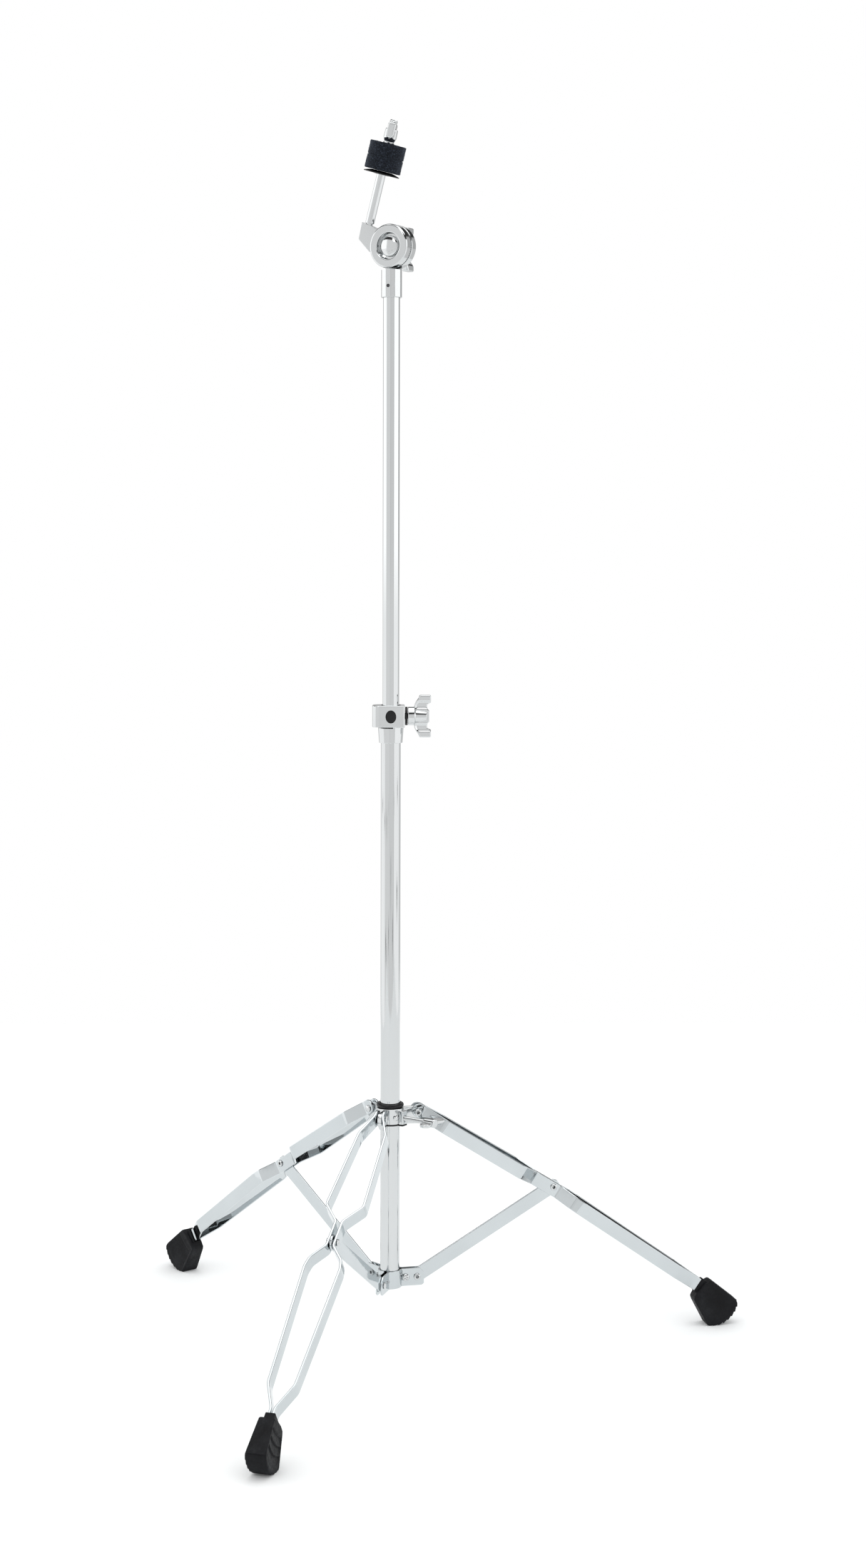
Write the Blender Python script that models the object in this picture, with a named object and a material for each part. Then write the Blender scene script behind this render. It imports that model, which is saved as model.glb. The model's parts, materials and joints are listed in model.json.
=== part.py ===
"""Cymbal stand: a folding tripod of paired steel strips, a two-section mast and a toothed tilter.

Lengths are in millimetres and become metres where the meshes are made. While it is built, the
stand has the tube's axis at x = y = 0 and the soles of its feet at z = 0; the last step moves the
middle of its bounding box to the origin. Empties stand on the joint axes and carry what moves.
"""
import math

import bmesh
import bpy
from mathutils import Matrix, Vector

MM = 0.001
GAP = 0.3

# Mast
LOWER_TUBE_OD = 19.05
UPPER_TUBE_OD = 15.875
TUBE_WALL = 1.2
LOWER_TUBE_BOTTOM = 62.0
LOWER_TUBE_TOP = 607.0
UPPER_TUBE_BOTTOM = 470.0
UPPER_TUBE_TOP = 1030.0
TILTER_HEIGHT = 1058.5
TILTER_TURN = math.radians(-31.5)

# Folding legs: the collar pivot, the middle pivot and the hub pivot form equal arms
LEG_COUNT = 3
FIRST_LEG_AZIMUTH = math.radians(11.6)
PIVOT_RADIUS = 26.5
COLLAR_PIVOT_Z = 233.0
HUB_PIVOT_Z = 69.0
MID_PIVOT_RADIUS = 164.0
MID_PIVOT_Z = (COLLAR_PIVOT_Z + HUB_PIVOT_Z) / 2
FOOT_ENTRY = (315.0, 42.0)

# Leg strips, braces and rivets
STRIP_WIDTH = 13.5
STRIP_THICKNESS = 2.4
STRIP_OFFSET = 2.0
STRIP_BEND_AFTER_PIVOT = 6.0
STRIP_INSIDE_FOOT = 16.0
TOP_HALF_GAP = 3.8
MID_HALF_GAP = 3.2
FOOT_HALF_GAP = 1.9
BRACE_WIDTH = 14.0
RIVET_SHANK_RADIUS = 2.2
RIVET_HOLE_RADIUS = 2.6
RIVET_HEAD_RADIUS = 3.4
RIVET_HEAD_HEIGHT = 1.5

# Bottom hub and sliding collar
PLATE_THICKNESS = 1.6
PLATE_HEIGHT = 17.4
FLANGE_END_RADIUS = 33.4
HUB_WRAP_RADIUS = 10.7
HUB_FLANGE_OFFSET = 2.4
HUB_SCREW_RADIUS = 15.0
COLLAR_BODY_RADIUS = 13.2
COLLAR_BORE_RADIUS = 11.2
COLLAR_LUG_HALF = 2.2
COLLAR_BOTTOM_Z = 221.3
COLLAR_SCREW_AZIMUTH = math.radians(-35.0)
COLLAR_SCREW_Z = 229.5
COLLAR_STUD_AZIMUTH = math.radians(-66.0)
COLLAR_BOSS_RADIUS = 17.7
COLLAR_RIM_RADIUS = 13.3
COLLAR_RIM_HEIGHT = 4.3
COLLAR_WING_START_RADIUS = 41.0
COLLAR_SCREW_RADIUS = 2.5
COLLAR_WING_THICKNESS = 3.4
COLLAR_WING_HALF = (
    (4.5, 1.0), (12.0, 2.2), (16.0, 4.6), (17.0, 8.0), (16.0, 11.6), (12.5, 13.8), (8.0, 12.6), (4.0, 11.0),
)

# Feet
FOOT_AXIS_TILT = math.radians(44.4)
FOOT_ARC_RADIUS = 27.0
FOOT_SOLE_CUT = 0.9
FOOT_NECK_HALF = 11.7
FOOT_THICK_TOP = 7.4
FOOT_THICK_BOTTOM = 9.8

# Mast clamp
CLAMP_FERRULE_BOTTOM = 593.0
CLAMP_BLOCK_BOTTOM = 608.5
CLAMP_TOP = 629.0
CLAMP_LEFT = -17.7
CLAMP_RIGHT = 13.3
CLAMP_FRONT = 12.4
CLAMP_BORE_RADIUS = 9.85
CLAMP_SCREW_Z = 618.5
CLAMP_WASHER_THICKNESS = 2.4
CLAMP_CORNER_RADIUS = 6.0
CLAMP_SCREW_RADIUS = 3.0
WING_FLANGE_RADIUS = 8.85
WING_THICKNESS = 7.0
WING_HALF = (
    (6.0, 5.6), (9.0, 6.0), (15.0, 7.4), (18.8, 8.8), (20.2, 10.8), (20.2, 20.8), (19.2, 21.9),
    (12.8, 21.2), (11.0, 18.5), (7.2, 18.5), (5.0, 20.3),
)

# Tilter: depths are measured along the bolt, positive towards the arm's side
DISC_RADIUS = 20.35
ARM_FACE = 7.2
ARM_BACK = -1.2
BASE_FRONT = -3.2
BASE_BACK = -11.3
TOOTH_HEIGHT = 0.8
TOOTH_COUNT = 20
TOOTH_INNER_RADIUS = 12.5
TOOTH_OUTER_RADIUS = 19.4
RECESS_RADIUS = 12.4
RECESS_FLOOR = 2.2
BOLT_RADIUS = 4.0
BOLT_END = -31.0
SOCKET_RADIUS = 9.7
SOCKET_BOTTOM = 1011.3
SOCKET_TOP = 1036.8
SOCKET_PIN_Z = 1021.7
SOCKET_PIN_AZIMUTH = math.radians(-20)
SOCKET_PIN_HOLE_RADIUS = 1.6
ARM_BLOCK_OUTLINE = (
    (-28.8, 24.0), (-12.8, 16.4), (-8.8, 13.4), (-14.0, 7.4), (-16.0, -2.0), (-20.3, -5.0), (-32.8, 8.2),
)

# Cymbal rod: distances along the rod start where it passes closest to the bolt
ROD_DEPTH = 2.5
ROD_LEAN = math.radians(16.1)
ROD_OFFSET = 28.0
ROD_RADIUS = 4.2
ROD_FOOT_RADIUS = 3.0
ROD_THREAD_RADIUS = 3.8
ROD_FOOT_START = 5.0
ROD_SHOULDER = 15.3
ROD_THREAD_START = 88.5
ROD_TIP = 111.6
SEAT_TOP = 64.0
SEAT_RADIUS = 17.0
FELT_RADIUS = 17.5
FELT_BORE_RADIUS = 5.7
FELT_THICKNESS = 12.5
CYMBAL_NUT_RADIUS = 5.5
CYMBAL_NUT_HEIGHT = 13.3
CYMBAL_NUT_TURN = math.radians(90) - TILTER_TURN
CYMBAL_WING_THICKNESS = 7.6
CYMBAL_WING_HALF = (
    (4.0, 3.6), (8.0, 3.6), (14.0, 4.6), (18.0, 7.0), (19.2, 10.0), (19.2, 17.2), (17.6, 18.6),
    (13.6, 18.0), (9.0, 14.4), (4.0, 12.6),
)

UPPER_TUBE_RADIUS = UPPER_TUBE_OD / 2
LOWER_TUBE_RADIUS = LOWER_TUBE_OD / 2
LOWER_FELT_START = SEAT_TOP + GAP
UPPER_FELT_START = LOWER_FELT_START + FELT_THICKNESS + GAP
CYMBAL_NUT_START = UPPER_FELT_START + FELT_THICKNESS + GAP
CLAMP_WASHER_START = CLAMP_RIGHT + GAP
CLAMP_NUT_START = CLAMP_WASHER_START + CLAMP_WASHER_THICKNESS + GAP

FRAMES = {}
MATERIALS = {}
ALONG_X = Matrix.Rotation(math.pi / 2, 4, "Y")
ALONG_Y = Matrix.Rotation(-math.pi / 2, 4, "X")
TOWARDS_ARM = Matrix.Rotation(math.pi / 2, 4, "X")


def clear_scene():
    for item in list(bpy.data.objects):
        bpy.data.objects.remove(item, do_unlink=True)


def material(name, colour, roughness, metallic):
    made = bpy.data.materials.new(name)
    made.use_nodes = True
    shader = made.node_tree.nodes["Principled BSDF"]
    shader.inputs["Base Color"].default_value = (*colour, 1.0)
    shader.inputs["Roughness"].default_value = roughness
    shader.inputs["Metallic"].default_value = metallic
    MATERIALS[name] = made


def pivot(name, frame, parent=None):
    """Add an empty at a place given in the stand's frame."""
    empty = bpy.data.objects.new(name, None)
    bpy.context.scene.collection.objects.link(empty)
    FRAMES[name] = frame
    if parent is None:
        empty.matrix_world = frame_in_metres(frame)
    else:
        empty.parent = bpy.data.objects[parent]
        empty.matrix_local = frame_in_metres(FRAMES[parent].inverted() @ frame)
    return empty


def frame_in_metres(frame):
    scaled = frame.copy()
    scaled.translation = frame.translation * MM
    return scaled


def at(x, y, z):
    return Matrix.Translation((x, y, z))


def spin_z(angle):
    return Matrix.Rotation(angle, 4, "Z")


def solid(points, faces):
    """Make a closed mesh in a bmesh from points in millimetres."""
    made = bmesh.new()
    vertices = [made.verts.new(Vector(point) * MM) for point in points]
    for face in faces:
        made.faces.new([vertices[index] for index in face])
    bmesh.ops.recalc_face_normals(made, faces=made.faces)
    return made


def turned(profile, steps=32):
    """Turn a closed (radius, height) outline about Z. Each entry may be a function of the step."""
    points = []
    rows = []
    for station in profile:
        row = []
        for step in range(steps):
            radius, height = station(step) if callable(station) else station
            if radius == 0 and row:
                row.append(row[0])
                continue
            angle = 2 * math.pi * (step + 0.5) / steps
            row.append(len(points))
            points.append((radius * math.cos(angle), radius * math.sin(angle), height))
        rows.append(row)
    faces = []
    for number, row in enumerate(rows):
        following = rows[(number + 1) % len(rows)]
        if row[0] == row[1] and following[0] == following[1]:
            continue
        for step in range(steps):
            beside = (step + 1) % steps
            corners = [row[step], row[beside], following[beside], following[step]]
            faces.append(list(dict.fromkeys(corners)))
    return solid(points, faces)


def prism(outline, low, high):
    """Extrude a flat (x, y) outline along Z."""
    count = len(outline)
    points = [(x, y, low) for x, y in outline] + [(x, y, high) for x, y in outline]
    faces = [list(range(count)), list(range(count, 2 * count))]
    for index in range(count):
        beside = (index + 1) % count
        faces.append([index, beside, count + beside, count + index])
    return solid(points, faces)


def cylinder(radius, low, high, steps=24):
    return turned([(0, low), (radius, low), (radius, high), (0, high)], steps)


def ring(inner, outer, low, high, steps=32):
    return turned([(inner, low), (outer, low), (outer, high), (inner, high)], steps)


def moved(shape, matrix):
    bmesh.ops.transform(shape, matrix=frame_in_metres(matrix), verts=shape.verts)
    return shape


def as_object(name, shape):
    mesh = bpy.data.meshes.new(name)
    shape.to_mesh(mesh)
    shape.free()
    made = bpy.data.objects.new(name, mesh)
    bpy.context.scene.collection.objects.link(made)
    return made


def combine(target, shape, operation):
    """Join a shape to an object, or cut it away, and keep the result as the object's mesh."""
    tool = as_object("tool", shape)
    modifier = target.modifiers.new("combine", "BOOLEAN")
    modifier.operation = operation
    modifier.object = tool
    graph = bpy.context.evaluated_depsgraph_get()
    result = bpy.data.meshes.new_from_object(target.evaluated_get(graph))
    target.modifiers.clear()
    target.data = result
    bpy.data.objects.remove(tool, do_unlink=True)


def part(name, shape, material_name, parent, frame=None, joins=(), cuts=()):
    """Finish a sub-part: join, cut, smooth, colour it and hang it on its empty."""
    made = as_object(name, shape)
    for joined in joins:
        combine(made, joined, "UNION")
    for cutter in cuts:
        combine(made, cutter, "DIFFERENCE")
    made.data.materials.clear()
    made.data.materials.append(MATERIALS[material_name])
    made.data.shade_smooth()
    made.data.set_sharp_from_angle(angle=math.radians(35))
    made.parent = bpy.data.objects[parent]
    placed = FRAMES[parent].inverted() @ (frame or Matrix.Identity(4))
    made.matrix_local = frame_in_metres(placed)
    return made


def thick_path(path, thickness):
    """Give an open flat path a thickness, with mitred corners, and return its outline."""
    sides = ([], [])
    for index, here in enumerate(path):
        here = Vector(here)
        before = Vector(path[index - 1]) if index else None
        after = Vector(path[index + 1]) if index + 1 < len(path) else None
        directions = [(here - before).normalized()] if before is not None else []
        directions += [(after - here).normalized()] if after is not None else []
        normals = [Vector((-run.y, run.x)) for run in directions]
        mitre = sum(normals, Vector((0, 0))).normalized()
        reach = thickness / 2 / mitre.dot(normals[0])
        sides[0].append(here + mitre * reach)
        sides[1].append(here - mitre * reach)
    return sides


def rounded_corner(before, corner, after, radius, steps=2):
    """Replace the corner of a flat path by a short arc of about the given radius."""
    before, corner, after = Vector(before), Vector(corner), Vector(after)
    start = corner + (before - corner).normalized() * radius
    end = corner + (after - corner).normalized() * radius
    arc = []
    for step in range(steps + 1):
        share = step / steps
        arc.append((1 - share) ** 2 * start + 2 * share * (1 - share) * corner + share ** 2 * end)
    return arc


def arc_points(centre, radius, start, end, steps):
    """Points on an arc; angles in radians, from start to end."""
    points = []
    for step in range(steps + 1):
        angle = start + (end - start) * step / steps
        points.append((centre[0] + radius * math.cos(angle), centre[1] + radius * math.sin(angle)))
    return points


# ---------------------------------------------------------------- frames of the joints

ARM_LENGTH = math.hypot(MID_PIVOT_RADIUS - PIVOT_RADIUS, COLLAR_PIVOT_Z - MID_PIVOT_Z)
ARM_TILT = math.atan2(MID_PIVOT_RADIUS - PIVOT_RADIUS, COLLAR_PIVOT_Z - MID_PIVOT_Z)
ROD_DIRECTION = Vector((math.sin(ROD_LEAN), 0, math.cos(ROD_LEAN)))


def leg_azimuth(number):
    return FIRST_LEG_AZIMUTH + 2 * math.pi * (number - 1) / LEG_COUNT


def leg_frame(number, radius, height):
    """A frame at a pivot of a leg: X runs outwards, Y along the pivot's pin."""
    return spin_z(leg_azimuth(number)) @ at(radius, 0, height)


def make_pivots():
    pivot("stand", Matrix.Identity(4))
    pivot("mast_slide_axis", at(0, 0, UPPER_TUBE_BOTTOM), "stand")
    pivot("mast_turn_axis", at(0, 0, UPPER_TUBE_BOTTOM), "mast_slide_axis")
    tilter = at(0, 0, TILTER_HEIGHT) @ spin_z(TILTER_TURN)
    pivot("tilt_axis", tilter, "mast_turn_axis")
    pivot("tilter_nut_axis", tilter, "mast_turn_axis")
    closest = Vector((-ROD_OFFSET * math.cos(ROD_LEAN), -ROD_DEPTH, ROD_OFFSET * math.sin(ROD_LEAN)))
    rod = tilter @ Matrix.Translation(closest) @ Matrix.Rotation(ROD_LEAN, 4, "Y")
    pivot("rod_axis", rod, "tilt_axis")
    pivot("upper_felt_axis", rod, "rod_axis")
    pivot("cymbal_nut_axis", rod @ at(0, 0, CYMBAL_NUT_START), "upper_felt_axis")
    pivot("clamp_screw_axis", at(CLAMP_NUT_START, 0, CLAMP_SCREW_Z) @ ALONG_X, "stand")
    for number in range(1, LEG_COUNT + 1):
        hub = leg_frame(number, PIVOT_RADIUS, HUB_PIVOT_Z)
        middle = leg_frame(number, MID_PIVOT_RADIUS, MID_PIVOT_Z)
        pivot(f"hub_pivot_{number}", hub, "stand")
        pivot(f"mid_pivot_{number}", middle, f"hub_pivot_{number}")
    pivot("collar_pivot", leg_frame(1, PIVOT_RADIUS, COLLAR_PIVOT_Z), "mid_pivot_1")
    screw = spin_z(COLLAR_SCREW_AZIMUTH) @ at(COLLAR_BOSS_RADIUS, 0, COLLAR_SCREW_Z) @ ALONG_X
    pivot("collar_screw_axis", screw, "collar_pivot")


# ---------------------------------------------------------------- fasteners

def rivet(half_grip):
    """A rivet along Z with a low domed head at each end."""
    head = half_grip + GAP
    top = head + RIVET_HEAD_HEIGHT
    crown = RIVET_HEAD_RADIUS * 0.6
    profile = [
        (0, -top), (crown, -top), (RIVET_HEAD_RADIUS, -head), (RIVET_SHANK_RADIUS, -head),
        (RIVET_SHANK_RADIUS, head), (RIVET_HEAD_RADIUS, head), (crown, top), (0, top),
    ]
    return turned(profile, 12)


def wing_plate(half_outline, thickness):
    """A flat double wing: its half outline is (distance from the axis, height), mirrored."""
    outline = list(half_outline) + [(-x, z) for x, z in reversed(half_outline)]
    return moved(prism(outline, -thickness / 2, thickness / 2), Matrix.Rotation(math.pi / 2, 4, "X"))


def mast_wing_nut(name, parent, frame, shank_radius, shank_start, bore_radius):
    """The large wing nut: a round flange and two thick wings, with a shank or a bore."""
    flange = turned([(0, 0), (WING_FLANGE_RADIUS - 0.45, 0), (WING_FLANGE_RADIUS, 0.5),
                     (WING_FLANGE_RADIUS, 6.0), (7.4, 7.0), (7.0, 17.5), (0, 17.5)])
    joins = [wing_plate(WING_HALF, WING_THICKNESS)]
    cuts = []
    if shank_radius:
        joins.append(cylinder(shank_radius, shank_start, 1.0, 16))
    if bore_radius:
        cuts.append(cylinder(bore_radius, -1, 25, 20))
    return part(name, flange, "chrome", parent, frame, joins, cuts)


# ---------------------------------------------------------------- mast

def make_mast():
    inner = LOWER_TUBE_RADIUS - TUBE_WALL
    tube = ring(inner, LOWER_TUBE_RADIUS, LOWER_TUBE_BOTTOM, LOWER_TUBE_TOP, 32)
    part("lower_tube", tube, "chrome", "stand")

    bore = UPPER_TUBE_RADIUS - TUBE_WALL
    tube = ring(bore, UPPER_TUBE_RADIUS, UPPER_TUBE_BOTTOM, UPPER_TUBE_TOP, 32)
    pin_hole = moved(cylinder(SOCKET_PIN_HOLE_RADIUS, -12, 12, 12), at(0, 0, SOCKET_PIN_Z) @ pin_direction())
    part("upper_tube", tube, "chrome", "mast_turn_axis", cuts=[pin_hole])

    glide = turned([
        (0, UPPER_TUBE_BOTTOM - 8), (7.7, UPPER_TUBE_BOTTOM - 8), (8.05, UPPER_TUBE_BOTTOM - 7.5),
        (8.05, UPPER_TUBE_BOTTOM - GAP), (bore - 0.25, UPPER_TUBE_BOTTOM - GAP),
        (bore - 0.25, UPPER_TUBE_BOTTOM + 15), (0, UPPER_TUBE_BOTTOM + 15),
    ], 24)
    part("tube_glide", glide, "black_plastic", "mast_slide_axis")


def make_clamp():
    """The clamp on top of the lower tube, with its nylon bushing and black washer."""
    corner = CLAMP_CORNER_RADIUS
    front = [(CLAMP_RIGHT, -CLAMP_FRONT), (CLAMP_LEFT + corner, -CLAMP_FRONT)]
    rounding = arc_points((CLAMP_LEFT + corner, -CLAMP_FRONT + corner), corner,
                          math.radians(-90), math.radians(-180), 5)
    left_half = front[:1] + rounding
    outline = left_half + [(x, -y) for x, y in reversed(left_half)]
    block = prism(outline, CLAMP_BLOCK_BOTTOM - 0.5, CLAMP_TOP)
    ferrule = turned([
        (0, CLAMP_FERRULE_BOTTOM), (11.0, CLAMP_FERRULE_BOTTOM), (11.6, CLAMP_FERRULE_BOTTOM + 0.8),
        (12.3, CLAMP_BLOCK_BOTTOM), (0, CLAMP_BLOCK_BOTTOM),
    ], 40)
    bore = cylinder(CLAMP_BORE_RADIUS, CLAMP_FERRULE_BOTTOM - 5, CLAMP_TOP + 5, 40)
    slit = prism([(-30, -20), (2, -20), (2, 20), (-30, 20)],
                 CLAMP_BLOCK_BOTTOM - 1.2, CLAMP_BLOCK_BOTTOM - 0.2)
    screw_hole = cylinder(CLAMP_SCREW_RADIUS + 0.3, 8, 20, 16)
    screw_hole = moved(screw_hole, at(0, 0, CLAMP_SCREW_Z) @ ALONG_X)
    part("clamp_body", block, "chrome", "stand", joins=[ferrule],
         cuts=[bore, slit, peg(5.1, 6.2, 8, 20), screw_hole])

    bushing = ring(UPPER_TUBE_RADIUS + 0.22, 9.5, LOWER_TUBE_TOP + GAP, CLAMP_TOP - 0.6, 32)
    part("clamp_bushing", bushing, "black_plastic", "stand",
         joins=[peg(4.8, 5.9, 9.2, CLAMP_FRONT + 0.3)])

    washer_end = CLAMP_WASHER_START + CLAMP_WASHER_THICKNESS
    washer = ring(CLAMP_SCREW_RADIUS + 0.3, WING_FLANGE_RADIUS, CLAMP_WASHER_START, washer_end)
    part("clamp_washer", moved(washer, at(0, 0, CLAMP_SCREW_Z) @ ALONG_X), "black_plastic", "stand")

    mast_wing_nut("clamp_wing_screw", "clamp_screw_axis", FRAMES["clamp_screw_axis"],
                  CLAMP_SCREW_RADIUS, 10.2 - CLAMP_NUT_START, None)


def peg(half_width, half_height, near, far):
    """The oval peg of the bushing, pointing forwards from the tube's axis."""
    oval = [(half_width * math.cos(angle), half_height * math.sin(angle))
            for angle in (2 * math.pi * (step + 0.3) / 20 for step in range(20))]
    return moved(prism(oval, near, far), at(0, 0, CLAMP_SCREW_Z) @ TOWARDS_ARM)


# ---------------------------------------------------------------- folding legs

def strip_line(distance, height):
    """A point on a leg strip's centre line in the leg's plane, as (radius, z)."""
    lean = math.asin(2 * STRIP_OFFSET / ARM_LENGTH)
    tilt = ARM_TILT - lean
    along = Vector((math.sin(tilt), -math.cos(tilt)))
    across = Vector((math.cos(tilt), math.sin(tilt)))
    start = Vector((PIVOT_RADIUS, COLLAR_PIVOT_Z)) + across * STRIP_OFFSET
    bend = ARM_LENGTH * math.cos(lean) + STRIP_BEND_AFTER_PIVOT
    bend_point = start + along * bend
    below = (Vector(FOOT_ENTRY) - bend_point).normalized()
    if distance <= bend:
        return start + along * distance + across * height
    return bend_point + below * (distance - bend) + Vector((-below.y, below.x)) * height


def strip_length():
    lean = math.asin(2 * STRIP_OFFSET / ARM_LENGTH)
    bend = ARM_LENGTH * math.cos(lean) + STRIP_BEND_AFTER_PIVOT
    return bend + (Vector(FOOT_ENTRY) - strip_line(bend, 0)).length


def strip_path():
    """Half the distance between the two strips of a leg, along the leg, with soft corners."""
    middle = ARM_LENGTH
    end = strip_length()
    corners = [
        (4.0, TOP_HALF_GAP), (28.0, 13.2), (119.0, 18.0), (middle - 22.0, MID_HALF_GAP),
        (middle + 7.0, MID_HALF_GAP), (middle + 22.0, 15.0), (middle + 32.0, 17.0),
        (end - 34.0, 12.4), (end - 7.0, FOOT_HALF_GAP),
    ]
    last = (end + STRIP_INSIDE_FOOT, FOOT_HALF_GAP)
    full = [(0.0, TOP_HALF_GAP)] + corners + [last]
    path = []
    for before, corner, after in zip(full, corners, full[2:]):
        path += rounded_corner(before, corner, after, 3.0)
    return path + [Vector(last)]


def leg_strip(side, number):
    """One bent strip of a leg, in the leg's frame at its middle pivot."""
    path = [Vector((distance, TOP_HALF_GAP)) for distance in (-6.6, -5.6, -3.2, 0.0)]
    half_widths = [1.4, 3.8, 5.95, STRIP_WIDTH / 2]
    soft = strip_path()
    half_widths += [STRIP_WIDTH / 2] * len(soft)
    outer, inner = thick_path([(p.x, p.y * side) for p in path + soft], STRIP_THICKNESS)
    points = []
    for first, second, half in zip(outer, inner, half_widths):
        for place, height in ((first, -half), (first, half), (second, half), (second, -half)):
            radius, z = strip_line(place.x, height)
            points.append((radius - MID_PIVOT_RADIUS, place.y, z - MID_PIVOT_Z))
    sections = len(half_widths)
    faces = [[0, 1, 2, 3], [4 * sections - 4 + corner for corner in range(4)]]
    for section in range(sections - 1):
        for corner in range(4):
            beside = (corner + 1) % 4
            start = 4 * section
            faces.append([start + corner, start + beside, start + 4 + beside, start + 4 + corner])
    top = (PIVOT_RADIUS - MID_PIVOT_RADIUS, 0, COLLAR_PIVOT_Z - MID_PIVOT_Z)
    cuts = [moved(cylinder(RIVET_HOLE_RADIUS, -30, 30, 16), at(*centre) @ ALONG_Y)
            for centre in ((0, 0, 0), top)]
    label = "left" if side > 0 else "right"
    frame = FRAMES[f"mid_pivot_{number}"]
    part(f"leg_{number}_strip_{label}", solid(points, faces), "chrome", f"mid_pivot_{number}",
         frame, cuts=cuts)


def brace(number):
    """The flat brace between the bottom hub and the middle of a leg."""
    half = BRACE_WIDTH / 2
    outline = arc_points((0, 0), half, math.pi / 2, 3 * math.pi / 2, 8)
    outline += arc_points((ARM_LENGTH, 0), half, -math.pi / 2, math.pi / 2, 8)
    flat = prism(outline, -STRIP_THICKNESS / 2, STRIP_THICKNESS / 2)
    raised = Matrix.Rotation(ARM_TILT - math.pi / 2, 4, "Y") @ ALONG_Y
    holes = [cylinder(RIVET_HOLE_RADIUS, -5, 5, 16),
             moved(cylinder(RIVET_HOLE_RADIUS, -5, 5, 16), at(ARM_LENGTH, 0, 0))]
    name = f"hub_pivot_{number}"
    part(f"brace_{number}", flat, "chrome", name, FRAMES[name] @ raised, cuts=holes)


def foot(number):
    """The rubber foot: a fan whose curved tread has a small flat sole where it stands."""
    axis = Vector((math.sin(FOOT_AXIS_TILT), -math.cos(FOOT_AXIS_TILT)))
    across = Vector((-axis.y, axis.x))
    centre = Vector((FOOT_ENTRY[0] + 15.6, FOOT_ARC_RADIUS - FOOT_SOLE_CUT))
    straight_down = FOOT_AXIS_TILT
    outline = [(0.0, -FOOT_NECK_HALF), (0.0, FOOT_NECK_HALF)]
    reach = (centre - Vector(FOOT_ENTRY)).dot(axis)
    for step in range(15):
        angle = math.radians(37) - math.radians(37 + 53) * step / 14
        outline.append((reach + FOOT_ARC_RADIUS * math.cos(angle), FOOT_ARC_RADIUS * math.sin(angle)))
    outline.append((reach + 3.0, -FOOT_ARC_RADIUS * math.sin(straight_down) + 1.8))
    points = []
    for side in (-1, 1):
        for along, height in outline:
            share = min(1.0, along / 34.0)
            half = FOOT_THICK_TOP + (FOOT_THICK_BOTTOM - FOOT_THICK_TOP) * share
            place = Vector(FOOT_ENTRY) + axis * along + across * height
            z = max(0.0, place.y)
            points.append((place.x - MID_PIVOT_RADIUS, side * half, z - MID_PIVOT_Z))
    count = len(outline)
    faces = [list(range(count)), list(range(count, 2 * count))]
    for index in range(count):
        beside = (index + 1) % count
        faces.append([index, beside, count + beside, count + index])
    slot_half = FOOT_HALF_GAP + STRIP_THICKNESS / 2 + 0.35
    slot_points = []
    end = strip_length()
    for distance in (end - 6, end + STRIP_INSIDE_FOOT + 0.6):
        for y, height in ((-1, -1), (-1, 1), (1, 1), (1, -1)):
            radius, z = strip_line(distance, height * (STRIP_WIDTH / 2 + 0.35))
            slot_points.append((radius - MID_PIVOT_RADIUS, y * slot_half, z - MID_PIVOT_Z))
    box_faces = [[0, 1, 2, 3], [4, 5, 6, 7], [0, 1, 5, 4], [1, 2, 6, 5], [2, 3, 7, 6], [3, 0, 4, 7]]
    name = f"mid_pivot_{number}"
    part(f"foot_{number}", solid(points, faces), "rubber", name, FRAMES[name],
         cuts=[solid(slot_points, box_faces)])


def make_legs():
    for number in range(1, LEG_COUNT + 1):
        brace(number)
        leg_strip(1, number)
        leg_strip(-1, number)
        foot(number)
        grip = MID_HALF_GAP + STRIP_THICKNESS / 2
        frame = FRAMES[f"mid_pivot_{number}"]
        part(f"mid_rivet_{number}", rivet(grip), "chrome", f"hub_pivot_{number}", frame @ ALONG_Y)


# ---------------------------------------------------------------- bottom hub

def hub_plate(number):
    """A pressed plate that wraps a third of the tube and ends in a flange at each leg."""
    start = leg_azimuth(number)
    turn = 2 * math.pi / LEG_COUNT
    spread = math.asin(HUB_FLANGE_OFFSET / HUB_WRAP_RADIUS)
    root = HUB_WRAP_RADIUS * math.cos(spread)
    path = [(FLANGE_END_RADIUS, HUB_FLANGE_OFFSET), (root + 1.2, HUB_FLANGE_OFFSET)]
    path += arc_points((0, 0), HUB_WRAP_RADIUS, spread + 0.1, turn - spread - 0.1, 8)
    beside = Matrix.Rotation(turn, 2)
    path.append(beside @ Vector((root + 1.2, -HUB_FLANGE_OFFSET)))
    path.append(beside @ Vector((FLANGE_END_RADIUS, -HUB_FLANGE_OFFSET)))
    first, second = thick_path(path, PLATE_THICKNESS)
    low = HUB_PIVOT_Z - PLATE_HEIGHT / 2
    plate = prism(first + second[::-1], low, low + PLATE_HEIGHT)
    cuts = []
    for angle in (0, turn):
        for radius, hole in ((HUB_SCREW_RADIUS, 2.0), (PIVOT_RADIUS, RIVET_HOLE_RADIUS)):
            place = spin_z(angle) @ at(radius, 0, HUB_PIVOT_Z) @ ALONG_Y
            cuts.append(moved(cylinder(hole, -5, 5, 16), place))
    part(f"hub_plate_{number}", plate, "chrome", "stand", spin_z(start), cuts=cuts)


def hub_screw(number):
    """A pan-head screw that draws two neighbouring plates together beside the tube."""
    face = HUB_FLANGE_OFFSET + PLATE_THICKNESS / 2
    head = face + GAP
    profile = [(0, -face - 1.0), (1.7, -face - 1.0), (1.7, head), (3.6, head), (3.6, head + 1.2),
               (2.6, head + 2.1), (0, head + 2.4)]
    frame = spin_z(leg_azimuth(number)) @ at(HUB_SCREW_RADIUS, 0, HUB_PIVOT_Z)
    part(f"hub_screw_{number}", turned(profile, 16), "chrome", "stand", frame @ TOWARDS_ARM)


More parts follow.
